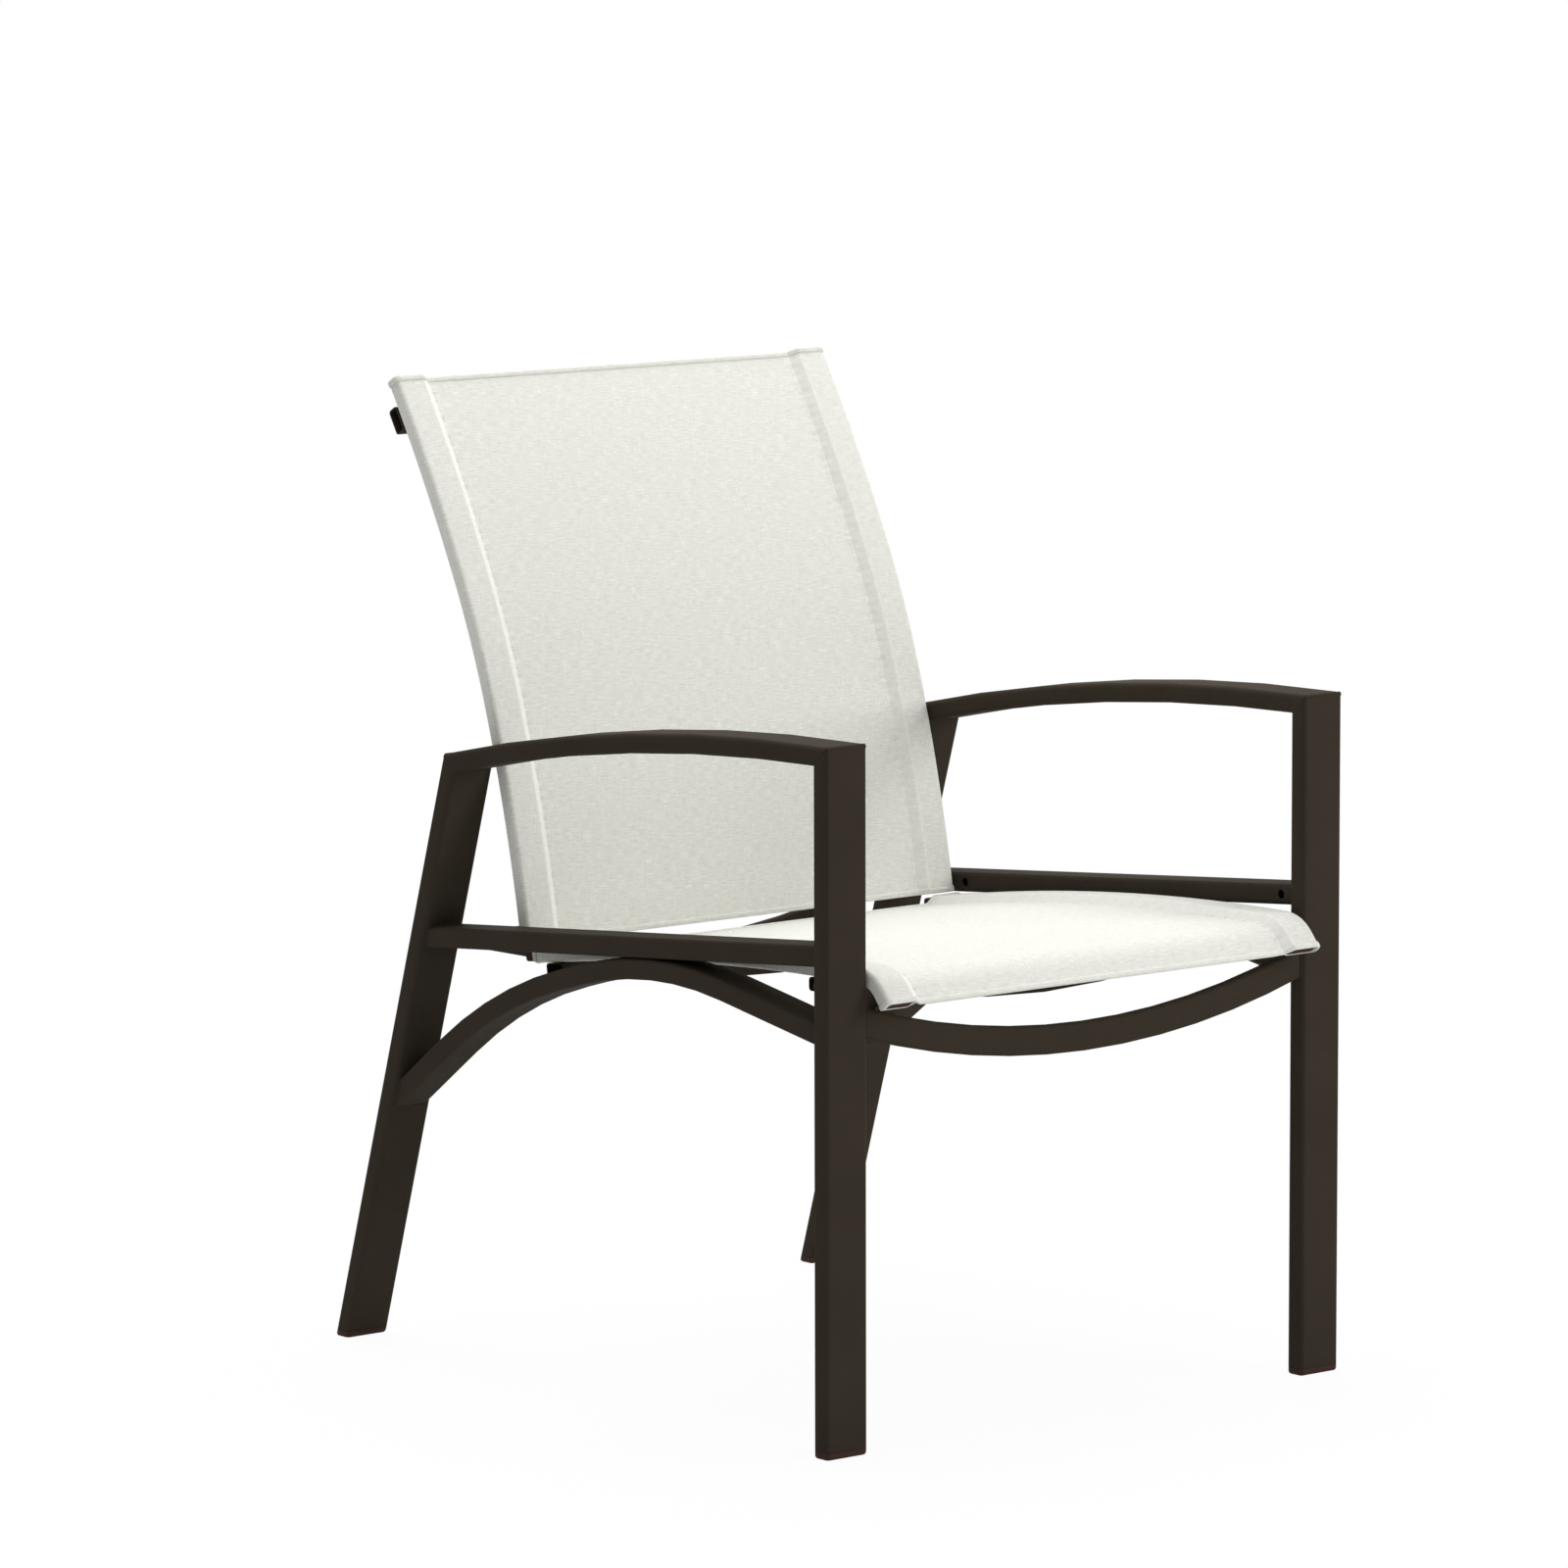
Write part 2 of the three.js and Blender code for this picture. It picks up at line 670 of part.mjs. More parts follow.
for (const { name, sign } of hands) {
  add(`seat_rail_${name}`, slingRail(seatRoute, seatFixings, hidden, seatEnd, sign), 'frame');
  add(`back_rail_${name}`, slingRail(backRoute, backFixings, plugRecess, backEnd - hidden, sign), 'frame');
  const first = [plugRecess, plugRecess + plugHead, plugRecess + plugHead + plugSpigot];
  const last = first.map((length) => backEnd - length);
  const rear = [seatEnd + seam + plugReach, seatEnd + seam, seatEnd - plugSpigot];
  add(`seat_front_plug_${name}`, railPlug(seatRoute, ...first, sign), 'plastic');
  add(`seat_rear_plug_${name}`, railPlug(seatRoute, ...rear, sign), 'plastic');
  add(`back_top_plug_${name}`, railPlug(backRoute, ...last, sign), 'plastic');
}

// Slings

// The section across both sleeves and the sheet between them. Each sleeve is a drop shape: it goes
// round the rail and slopes down to where its two layers are sewn into one sheet.
function slingSection(proud) {
  const outboard = slingRailCentre + slingRailWidth / 2 - slingRailCorner;
  const inboard = slingRailCentre - slingRailWidth / 2 + slingRailCorner;
  const middle = slingRailDepth / 2 - slingRailCorner;
  const turned = (across, angle, radius) => new THREE.Vector2(across, middle).add(towards(angle, radius));
  // Half a drop at a distance from the rail, from the height of its seam to the outboard side.
  const drop = (off, seamHeight) => {
    const radius = slingRailCorner + off;
    const points = [];
    for (let i = 0; i <= slopeSteps; i++) {
      points.push(turned(inboard, quarter + sleeveSlope * (1 - i / slopeSteps), radius));
    }
    for (let i = 0; i <= cornerSteps; i++) {
      points.push(turned(outboard, quarter * (1 - i / cornerSteps), radius));
    }
    return [slide(points[0], sleeveSlope, floorCut(seamHeight)), ...points];
  };
  const flip = (points, x, y) => points.map((p) => new THREE.Vector2(x * p.x, y * p.y));
  const upper = drop(sleeveWall + proud, clothThickness / 2 + proud);
  const right = [...upper, ...flip(upper, 1, -1).reverse()];
  const left = flip(right, -1, 1).reverse();
  const innerUpper = drop(sleeveEase, 0);
  const innerLower = flip(innerUpper, 1, -1).reverse().slice(0, -1);
  const hollow = [...innerUpper, ...innerLower];
  const contour = [...right, ...left].reverse();
  return { contour, hollows: [hollow, flip(hollow, -1, 1).reverse()] };
}

function sling(route, fixings) {
  const end = route.length;
  const steps = [hemHeight, hemHeight + hemStep, end - hemHeight - hemStep, end - hemHeight];
  const stretch = route.between(0, end, steps);
  const plain = slingSection(0);
  const hem = slingSection(hemProud);
  const lay = (flat, x) => new THREE.Vector3(x, flat.x, flat.y);
  const last = stretch.stations.length - 1;
  const rings = stretch.stations.map((station, i) => ring(i < 2 || i > last - 2 ? hem : plain, station, lay));
  const from = slingRailDepth / 2;
  const drills = hands.flatMap(({ sign }) => drillsFor(route, fixings, sign, from, slingRailDepth));
  return drilled(loft(rings, plain), drills);
}

add('seat_sling', sling(seatRoute, seatFixings), 'cloth');
add('back_sling', sling(backRoute, backFixings), 'cloth');

// Cross bars: flat at both ends and bowed away from the sitter between them

const barHalf = sleeveEdge - barInset;

function barRoute(bow) {
  const run = barHalf - barFlat;
  const swing = 2 * Math.atan(bow / run);
  const bowRadius = run / Math.sin(swing) - barBend;
  const start = new THREE.Vector2(-barHalf, 0);
  return new Route(start, 0)
    .line(barFlat)
    .arc(barBend, -swing, 2)
    .arc(bowRadius, 2 * swing, bendSteps)
    .arc(barBend, -swing, 2)
    .line(barFlat);
}

// In a bar's plane the first axis is X and the second points to the sitter.
function barPlane(route, length) {
  const { centre, out, along } = fixing(route, length, 1);
  const middle = new THREE.Vector3(0, centre.y, centre.z).addScaledVector(out, seatOn + barDepth / 2);
  return (flat, x) => middle.clone()
    .add(new THREE.Vector3(flat.x, 0, 0))
    .addScaledVector(out, -flat.y)
    .addScaledVector(along, x);
}

function crossBar(route, length, bow) {
  const section = tubeSection(barWidth, barDepth, barCorner, barWall);
  const drills = hands.map(({ sign }) => {
    const place = fixing(route, length, sign);
    return drill(screwHoleRadius, outFrom(place, sleeveHalf), outFrom(place, sleeveHalf + 2 * barDepth));
  });
  return drilled(sweep(barRoute(bow), section, barPlane(route, length)), drills);
}

const bars = [
  { name: 'seat_bar_front', route: seatRoute, length: seatFixings.bars[0], bow: frontBarBow },
  { name: 'seat_bar_rear', route: seatRoute, length: seatFixings.bars[1], bow: barBow },
  { name: 'back_bar_top', route: backRoute, length: backFixings.bars[0], bow: barBow },
];

for (const { name, route, length, bow } of bars) {
  add(name, crossBar(route, length, bow), 'frame');
}

// Tabs: plates welded to the side frames, which the rails are screwed to

function plate(place, across, thickness, depth, sign) {
  const { centre, out, along } = place;
  const middle = (across.from + across.to) / 2;
  const box = welded(new THREE.BoxGeometry(across.to - across.from, thickness, depth));
  const basis = new THREE.Matrix4().makeBasis(new THREE.Vector3(1, 0, 0), out, along);
  const spot = outFrom(place, seatOn + thickness / 2);
  basis.setPosition(sign * middle, spot.y, spot.z);
  const geometry = box.applyMatrix4(basis);
  return volumeOf(geometry) < 0 ? meshOf(pointsOf(geometry), [...geometry.index.array]) : geometry;
}

function pointsOf(geometry) {
  const position = geometry.getAttribute('position');
  const pointAt = (_, i) => new THREE.Vector3().fromBufferAttribute(position, i);
  return Array.from({ length: position.count }, pointAt);
}

const tabInner = slingRailCentre + slingRailWidth / 2 - tabReach;
const [frontTab, rearTab] = seatFixings.tabs;
const [lowerTab, upperTab] = backFixings.tabs;
const behindLeg = legFace + tabOverlap;
const toBrace = braceFace - seam;
const toLeg = legFace - seam;
const tabs = [
  { name: 'seat_front_tab', route: seatRoute, length: frontTab, depth: frontTabDepth, edge: behindLeg },
  { name: 'seat_rear_tab', route: seatRoute, length: rearTab, depth: rearTabDepth, edge: toBrace },
  { name: 'back_lower_tab', route: backRoute, length: lowerTab, depth: lowerTabHeight, edge: toBrace },
  { name: 'back_upper_tab', route: backRoute, length: upperTab, depth: upperTabHeight, edge: toLeg },
];

for (const { name, route, length, depth, edge } of tabs) {
  for (const hand of hands) {
    const place = fixing(route, length, hand.sign);
    const blank = plate(place, { from: tabInner, to: edge }, tabThickness, depth, hand.sign);
    const past = outFrom(place, sleeveHalf + 2 * tabThickness);
    const hole = drill(screwHoleRadius, outFrom(place, sleeveHalf), past);
    add(`${name}_${hand.name}`, drilled(blank, [hole]), 'frame');
  }
}

// Screws from outside the cloth into the weld nuts

const screwTip = nutBottom - screwPastNut;

function screw({ centre, out }, grip) {
  const headFoot = seatOn + grip + seam;
  const profile = [
    [0, screwTip], [screwRadius, screwTip], [screwRadius, headFoot], [screwHeadRadius, headFoot],
    [screwHeadRadius, headFoot + screwCrown], [screwRadius, headFoot + screwHeadHeight],
    [0, headFoot + screwHeadHeight],
  ].map(([r, h]) => new THREE.Vector2(r, h));
  return aimed(welded(new THREE.LatheGeometry(profile, drillSides)), centre, out);
}

for (const hand of hands) {
  for (const { name, route, length } of bars) {
    add(`${name}_screw_${hand.name}`, screw(fixing(route, length, hand.sign), barDepth), 'zinc');
  }
  for (const { name, route, length } of tabs) {
    add(`${name}_screw_${hand.name}`, screw(fixing(route, length, hand.sign), tabThickness), 'zinc');
  }
}

// The origin goes under the middle of the chair, on the floor.
const box = new THREE.Box3().setFromObject(chair);
const middle = box.getCenter(new THREE.Vector3());
chair.position.set(-middle.x, -middle.y, -box.min.z);

export default chair;
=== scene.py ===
# %% [markdown]
# # A sling patio chair
# The chair is a welded frame of flat tube with a seat and a back of woven sling fabric stretched between
# rails. The metal and moulded pieces come finished in shape and at their real size, so they are loaded as
# they are and only get a finish. The fabric, its hems and stitches, the weld beads and the screws' visible
# shapes are made here.

# %% Load the chair's frame
import json
import math

import bpy
import numpy as np
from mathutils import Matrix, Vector


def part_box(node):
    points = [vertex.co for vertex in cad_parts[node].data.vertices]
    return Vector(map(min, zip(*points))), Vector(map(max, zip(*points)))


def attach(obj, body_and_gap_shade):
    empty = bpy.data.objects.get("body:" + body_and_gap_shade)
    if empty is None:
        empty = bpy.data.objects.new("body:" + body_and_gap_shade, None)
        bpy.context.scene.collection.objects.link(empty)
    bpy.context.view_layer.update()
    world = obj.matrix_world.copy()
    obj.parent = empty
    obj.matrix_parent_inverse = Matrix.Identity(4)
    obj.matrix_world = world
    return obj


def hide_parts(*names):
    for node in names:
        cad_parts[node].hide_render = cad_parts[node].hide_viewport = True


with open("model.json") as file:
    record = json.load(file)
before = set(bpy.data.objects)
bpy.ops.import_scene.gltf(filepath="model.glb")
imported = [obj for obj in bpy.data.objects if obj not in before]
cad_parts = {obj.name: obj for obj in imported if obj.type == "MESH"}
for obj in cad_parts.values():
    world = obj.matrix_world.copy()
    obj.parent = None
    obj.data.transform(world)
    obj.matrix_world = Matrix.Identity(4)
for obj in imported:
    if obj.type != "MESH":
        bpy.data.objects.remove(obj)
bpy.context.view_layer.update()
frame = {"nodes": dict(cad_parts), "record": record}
nodes = frame["nodes"]

# %% [markdown]
# ## Units
# Blender works in metres and radians, and furniture is drawn in millimetres and degrees. Two factors keep
# every size below in the numbers that a maker would read off a drawing. The other way, a scene set to
# millimetres, would make lamps and bump depths behave oddly.

# %% Units
mm = 0.001
deg = math.pi / 180
print("a metre is", round(1 / mm), "mm, and a full turn is", round(360 * deg, 4), "radians")

# %% [markdown]
# ## Camera
# A long lens from about eight metres away gives the flat, catalogue-like perspective in which the chair's
# upright tubes stay almost parallel. The camera stands at the front right of the chair, a little above the
# arms. A small sideways shift of the lens frames the chair without turning the camera.

# %% Camera
lens = bpy.data.cameras.new("long_lens")
lens.lens = 193.464
lens.sensor_width = 36
lens.shift_x = -0.095
camera = bpy.data.objects.new("camera", lens)
camera.location = (-4.9839, -6.02, 1.6089)
camera.rotation_euler = (82.242 * deg, 0, -40.26 * deg)
bpy.context.scene.collection.objects.link(camera)
bpy.context.scene.camera = camera
bpy.context.scene.view_settings.view_transform = "Standard"
print("camera stands", round(camera.location.length, 2), "m from the middle of the floor")

# %% [markdown]
# ## Writing shader maths as Python
# A material's pattern is a formula, and a formula drawn with nodes is hard to read. This small class holds
# one output socket. The signs + - * / on it add Math nodes, also when a plain number comes first, and one
# method adds any other kind of node. The same class serves materials, the world and geometry nodes.

# %% A socket that takes part in sums
class Socket:
    """One output of a node tree. Arithmetic on it adds Math nodes; node() adds any other node."""

    def __init__(self, tree, output=None):
        self.tree, self.output = tree, output

    def node(self, kind, settings, sockets, output=0):
        """Adds a node of a kind: first its settings, then its sockets' values or links."""
        made = self.tree.nodes.new(kind)
        for name, value in settings.items():
            setattr(made, name, value)
        for name, value in sockets.items():
            if isinstance(value, Socket):
                self.tree.links.new(value.output, made.inputs[name])
            else:
                made.inputs[name].default_value = value
        return Socket(self.tree, made.outputs[output] if len(made.outputs) else None)

    def maths(self, operation, *values):
        return self.node("ShaderNodeMath", {"operation": operation}, dict(enumerate(values)))

    def __add__(self, other):
        return self.maths("ADD", self, other)

    def __sub__(self, other):
        return self.maths("SUBTRACT", self, other)

    def __rsub__(self, other):
        return self.maths("SUBTRACT", other, self)

    def __mul__(self, other):
        return self.maths("MULTIPLY", self, other)

    def __truediv__(self, other):
        return self.maths("DIVIDE", self, other)

    def __rtruediv__(self, other):
        return self.maths("DIVIDE", other, self)

    __radd__ = __add__
    __rmul__ = __mul__


print("a socket knows", [name for name in vars(Socket) if name.startswith("__r")])

# %% [markdown]
# ## Colours, noise and finishes
# Nearly every finish below is two colours of the same material, blended by noise of a size that the real
# thing shows. Image textures could hold such colours too, but noise needs no file and never repeats. It is
# read on the piece's own coordinates, in metres, so a pattern keeps its true size on every piece.

# %% Blends, noise and finishes
def blended(factor, low, high):
    """A colour between two, where the factor is 0 for the first and 1 for the second."""
    settings = {"data_type": "RGBA", "clamp_factor": True}
    return factor.node("ShaderNodeMix", settings, {0: factor, 6: low, 7: high}, 2)


def noise(place, scale, detail=2.0):
    """Soft random values round 0.5, with features about 1/scale metres across."""
    return place.node("ShaderNodeTexNoise", {}, {"Vector": place, "Scale": scale, "Detail": detail})


def finish(name, surface):
    """A material whose shader is what the function surface returns for an empty tree."""
    material = bpy.data.materials.new(name)
    material.use_nodes = True
    material.node_tree.nodes.clear()
    tree = Socket(material.node_tree)
    tree.node("ShaderNodeOutputMaterial", {}, {"Surface": surface(tree)})
    print("finish", name, "has", len(material.node_tree.nodes), "nodes")
    return material

# %% [markdown]
# ## Studio
# A product photograph has a white sweep and large soft lamps. Here the world is a plain grey light for the
# chair, yet pure white where the camera, a reflection or glass looks at it, so the background costs no extra
# light on the object. A real sweep could be modelled, but a flat floor that fades into the same white looks
# alike from every side.

# %% World
pure_white = (1, 1, 1, 1)
fill_strength = 0.52


def seen_directly(tree):
    """1 for rays that see a thing itself, by camera, in a reflection or through glass, else 0."""
    outputs = ["Is Camera Ray", "Is Glossy Ray", "Is Transmission Ray"]
    rays = [tree.node("ShaderNodeLightPath", {}, {}, output) for output in outputs]
    return tree.maths("MINIMUM", rays[0] + rays[1] + rays[2], 1.0)


world = bpy.data.worlds.new("studio")
bpy.context.scene.world = world
world.use_nodes = True
world.node_tree.nodes.clear()
sky = Socket(world.node_tree)
fill = sky.node("ShaderNodeBackground", {}, {"Color": pure_white, "Strength": fill_strength})
backdrop = sky.node("ShaderNodeBackground", {}, {"Color": pure_white, "Strength": 1.0})
both = sky.node("ShaderNodeMixShader", {}, {0: seen_directly(sky), 1: fill, 2: backdrop})
sky.node("ShaderNodeOutputWorld", {}, {"Surface": both})
print("the world lights the chair at", fill_strength, "and shows as white")

# %% [markdown]
# ## Lamps
# Two large square lamps stand in for the softboxes of a studio. The one overhead and behind makes the seat
# the brightest part, and the one at the front keeps the legs' two faces apart. Small lamps would draw hard
# shadows, and a world alone would leave every face alike.

# %% Lamps
def softbox(name, place, target, size, power):
    """A square lamp at a place, facing a target."""
    light = bpy.data.lights.new(name, "AREA")
    light.shape = "SQUARE"
    light.size = size
    light.energy = power
    lamp = bpy.data.objects.new(name, light)
    lamp.location = place
    aim = Vector(target) - Vector(place)
    lamp.rotation_euler = aim.to_track_quat("-Z", "Y").to_euler()
    bpy.context.scene.collection.objects.link(lamp)
    print(name, "gives", power, "W from", round(aim.length, 2), "m away")


softbox("overhead_softbox", place=(0.3, 0.9, 3.2), target=(0, 0, 0.4), size=2.6, power=96)
softbox("front_softbox", place=(2.6, -3.4, 2.1), target=(0, 0, 0.5), size=2.0, power=93)

# %% [markdown]
# ## Floor
# The floor is there for the soft shadow under the feet. It shows mostly plain white to the camera, with a
# share of real shading near the chair, and that share fades out with distance. A shadow catcher would do this
# too, but it depends on a render setting, and this floor works in any render.

# %% Floor
floor_half = 40.0
floor_drop = 0.2 * mm
floor_grey = (0.8, 0.8, 0.8, 1)
shade_reach = 1.6
shade_share = 0.06


def pale_floor(tree):
    place = tree.node("ShaderNodeTexCoord", {}, {}, "Object")
    far = tree.node("ShaderNodeVectorMath", {"operation": "LENGTH"}, {0: place}, "Value")
    nearness = tree.maths("MAXIMUM", 1.0 - far / shade_reach, 0.0)
    plain = tree.node("ShaderNodeEmission", {}, {"Color": pure_white, "Strength": 1.0})
    shaded = tree.node("ShaderNodeBsdfDiffuse", {}, {"Color": floor_grey})
    share = seen_directly(tree) * (1.0 - shade_share * nearness)
    return tree.node("ShaderNodeMixShader", {}, {0: share, 1: shaded, 2: plain})


floor_mesh = bpy.data.meshes.new("floor")
corners = np.array([(-1, -1, 0), (1, -1, 0), (1, 1, 0), (-1, 1, 0)]) * floor_half
floor_mesh.from_pydata((corners - [0, 0, floor_drop]).tolist(), [], [(0, 1, 2, 3)])
floor = bpy.data.objects.new("floor", floor_mesh)
floor_mesh.materials.append(finish("white_floor", pale_floor))
bpy.context.scene.collection.objects.link(floor)

# %% [markdown]
# ## Powder coat
# The frame is sprayed with dark espresso powder that melts into a tough satin skin. Close up it has the faint
# dimples called orange peel, and from a step away only a soft, slightly uneven sheen. A smooth dark plastic
# shader would look like rubber. So fine noise tilts the surface a little, and a broader one shifts the gloss
# and the depth of the colour.

# %% Powder coat
coat_dark = (0.030, 0.0236, 0.0168, 1)
coat_light = (0.045, 0.0362, 0.0268, 1)
coat_specular = 0.012
peel_height = 0.25 * mm


def powder_coat(tree):
    place = tree.node("ShaderNodeTexCoord", {}, {}, "Object")
    peel = noise(place, 650.0)
    cloud = noise(place, 16.0, 4.0)
    speck = noise(place, 2400.0, 1.0)
    colour = blended(cloud * 0.7 + speck * 0.6 - 0.15, coat_dark, coat_light)
    tilt = tree.node("ShaderNodeBump", {}, {"Height": peel, "Strength": 0.22, "Distance": peel_height})
    gloss = {"Roughness": cloud * 0.12 + speck * 0.1 + 0.5, "Specular IOR Level": coat_specular}
    return tree.node("ShaderNodeBsdfPrincipled", {}, {"Base Color": colour, "Normal": tilt, **gloss})


coat = finish("espresso_powder_coat", powder_coat)

# %% [markdown]
# ## Moulded plastic
# The foot glides and the tube plugs are injection moulded in a reddish brown. Such parts come out of a spark
# eroded mould with a fine, even grain and less gloss than the paint beside them. The grain is bump only: at
# this size modelled pits would cost millions of faces and show nothing more.

# %% Moulded plastic
plastic_dark = (0.046, 0.0235, 0.019, 1)
plastic_light = (0.064, 0.034, 0.0275, 1)
plastic_specular = 0.03
grain_height = 0.15 * mm


def moulded(tree):
    place = tree.node("ShaderNodeTexCoord", {}, {}, "Object")
    grain = noise(place, 1500.0, 3.0)
    cloud = noise(place, 40.0, 3.0)
    colour = blended(cloud, plastic_dark, plastic_light)
    tilt = tree.node("ShaderNodeBump", {}, {"Height": grain, "Strength": 0.3, "Distance": grain_height})
    gloss = {"Roughness": grain * 0.15 + 0.42, "Specular IOR Level": plastic_specular}
    return tree.node("ShaderNodeBsdfPrincipled", {}, {"Base Color": colour, "Normal": tilt, **gloss})


plastic = finish("moulded_brown", moulded)

# %% [markdown]
# ## Zinc
# The screws are zinc plated steel, which is a bright grey with a slight yellow cast and dull patches where
# the plating is thin. A grey paint would look like chalk, so Metallic is 1 and the colour is the metal's own
# reflection colour. The patches make it darker or brighter and change the roughness, but not the hue.

# %% Zinc
zinc_dull = (0.42, 0.40, 0.36, 1)
zinc_bright = (0.56, 0.54, 0.50, 1)


def zinc_plate(tree):
    place = tree.node("ShaderNodeTexCoord", {}, {}, "Object")
    patches = noise(place, 500.0, 4.0)
    colour = blended(patches, zinc_dull, zinc_bright)
    sockets = {"Base Color": colour, "Metallic": 1.0, "Roughness": patches * 0.3 + 0.2}
    return tree.node("ShaderNodeBsdfPrincipled", {}, sockets)


zinc = finish("zinc_plate", zinc_plate)

# %% [markdown]
# ## Smooth tubes from loose triangles
# The loaded pieces are loose triangles that would shade as flat facets. Their meshes are the real sizes and
# stay untouched, so a modifier does the work: geometry nodes join the triangles, shade them smooth and keep
# an edge sharp where two faces meet at more than 35 degrees. A weighted normal modifier then lets the large
# flat faces decide the shading, so the small rounded corners blend in as they do on drawn tube.

# %% Smoothing modifier
sharp_edge = 35 * deg
join_distance = 0.01 * mm


def smoothing_nodes():
    group = bpy.data.node_groups.new("join_and_smooth", "GeometryNodeTree")
    group.interface.new_socket("Geometry", in_out="INPUT", socket_type="NodeSocketGeometry")
    group.interface.new_socket("Geometry", in_out="OUTPUT", socket_type="NodeSocketGeometry")
    tree = Socket(group)
    loose = tree.node("NodeGroupInput", {}, {})
    plain = tree.node("GeometryNodeRemoveAttribute", {}, {"Geometry": loose, "Name": "custom_normal"})
    whole = tree.node("GeometryNodeMergeByDistance", {}, {"Geometry": plain, "Distance": join_distance})
    angle = tree.node("GeometryNodeInputMeshEdgeAngle", {}, {}, 0)
    sharp = tree.node("FunctionNodeCompare", {"operation": "GREATER_THAN"}, {0: angle, 1: sharp_edge})
    smooth = tree.node("GeometryNodeSetShadeSmooth", {}, {"Geometry": whole, "Shade Smooth": True})
    edges = {"Geometry": smooth, "Selection": sharp, "Shade Smooth": False}
    done = tree.node("GeometryNodeSetShadeSmooth", {"domain": "EDGE"}, edges)
    tree.node("NodeGroupOutput", {}, {0: done})
    return group


smoothing = smoothing_nodes()
print("smoothing has", len(smoothing.nodes), "nodes")

# %% Finish the loaded pieces
finish_of_slot = {"frame": coat, "plastic": plastic, "zinc": zinc}
slot_of = {row["node"]: row["material_slot"] for row in frame["record"]["subparts"]}
for name, piece in nodes.items():
    if slot_of[name] == "cloth":
        continue
    piece.data.materials.clear()
    piece.data.materials.append(finish_of_slot[slot_of[name]])
    piece.modifiers.new("smooth", "NODES").node_group = smoothing
    piece.modifiers.new("flat_faces_lead", "WEIGHTED_NORMAL").keep_sharp = True
print("smoothed", sum(slot != "cloth" for slot in slot_of.values()), "pieces")

# %% [markdown]
# ## Lines of straights and arcs
# A bent tube, the fabric along it and the fabric round it are all lines whose direction turns evenly, piece
# by piece. A Bezier curve can only come close to that. One formula gives every point of such a line at once,
# and the rest of the chair is drawn with it.

# %% A line of straights and arcs
def along(start, heading, pieces, lengths):
    """Points and headings at given lengths on a line that is a chain of (length, turn) pieces.

    After a run r that has turned by t, the point lies r * sin(t/2) / (t/2) from the piece's start, in the
    direction of the heading there plus t/2. For a straight t is 0 and that factor is 1.
    """
    points = np.zeros((len(lengths), 2)) + start
    headings = np.full(len(lengths), float(heading))
    begun = 0.0
    for length, turn in pieces:
        run = np.clip(lengths - begun, 0, length)
        turned = turn * run / length
        chord = run * np.sinc(turned / (2 * math.pi))
        way = heading + turned / 2
        points += chord[:, None] * np.stack([np.cos(way), np.sin(way)], axis=1)
        headings += turned
        heading += turn
        begun += length
    return points, headings


def arc(radius, turn):
    """An arc as such a piece: its length is the radius times the size of the turn."""
    return radius * abs(turn), turn


def axes(heading):
    """Two unit vectors: along a heading, (cos, sin), and square to it, (-sin, cos)."""
    way = np.array([math.cos(heading), math.sin(heading)])
    return way, np.array([-way[1], way[0]])


def total(pieces):
    """The whole length of a chain."""
    return sum(length for length, turn in pieces)


def stepped(pieces, steps):
    """Lengths along a chain, with a chosen number of even steps in each piece."""
    ends = np.cumsum([0] + [length for length, turn in pieces])
    spans = [np.linspace(a, b, n, endpoint=False) for a, b, n in zip(ends, ends[1:], steps)]
    return np.concatenate(spans + [ends[-1:]])


half_turn = along((0, 0), 0, [arc(1, math.pi)], np.array([math.pi]))[0][0]
print("half a turn of radius 1 ends at", half_turn.round(6))

# %% [markdown]
# ## Surfaces from grids
# Everything made here is either one grid of points, such as the cloth, or a batch of closed tubes, such as a
# hem, a weld bead or a thousand stitches. Two builders turn such arrays into meshes, with the faces pointing
# outwards and a UV map in metres, so that a weave has its true size wherever it is used. The first one makes
# the open grid.

# %% Grids
def put(name, points, faces, places, material):
    """Makes a piece from points, faces and the UV place of each face corner, and fixes it to the chair."""
    mesh = bpy.data.meshes.new(name)
    mesh.from_pydata(points.tolist(), [], faces)
    mesh.uv_layers.new(name="UVMap").uv.foreach_set("vector", places.astype(np.float32).ravel())
    mesh.materials.append(material)
    mesh.shade_smooth()
    piece = bpy.data.objects.new(name, mesh)
    bpy.context.scene.collection.objects.link(piece)
    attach(piece, "root")
    print(name, "has", len(mesh.polygons), "faces")
    return piece


def grid_faces(columns, rows):
    """The point numbers of every face, where point [i, j] has the number i * rows + j."""
    number = np.arange(columns * rows).reshape(columns, rows)
    turning = [number[:-1, :-1], number[1:, :-1], number[1:, 1:], number[:-1, 1:]]
    return np.stack(turning, axis=-1).reshape(-1, 4)


def cloth_grid(name, points, u, v, material):
    """An open grid of points, points[i, j] at UV place (u[i], v[j])."""
    faces = grid_faces(len(u), len(v))
    flat = np.stack(np.meshgrid(u, v, indexing="ij"), axis=-1).reshape(-1, 2)
    return put(name, points.reshape(-1, 3), faces.tolist(), flat[faces], material)


print("a grid of 3 by 5 points has", len(grid_faces(3, 5)), "faces")

# %% [markdown]
# ## Tubes from rings
# The second builder joins rings of points into tubes. Blender's curves with a bevel make tubes too, but only
# with one profile all along, and here a stitch thins out and a screw goes from a circle to a hexagon. One
# call makes any number of equal tubes as one mesh. Whether the faces point outwards is measured and not
# assumed: the sum of a . (b x c) over a tube's triangles is six times its volume, below zero for a tube that
# is inside out, and the caps are too small to change its sign.

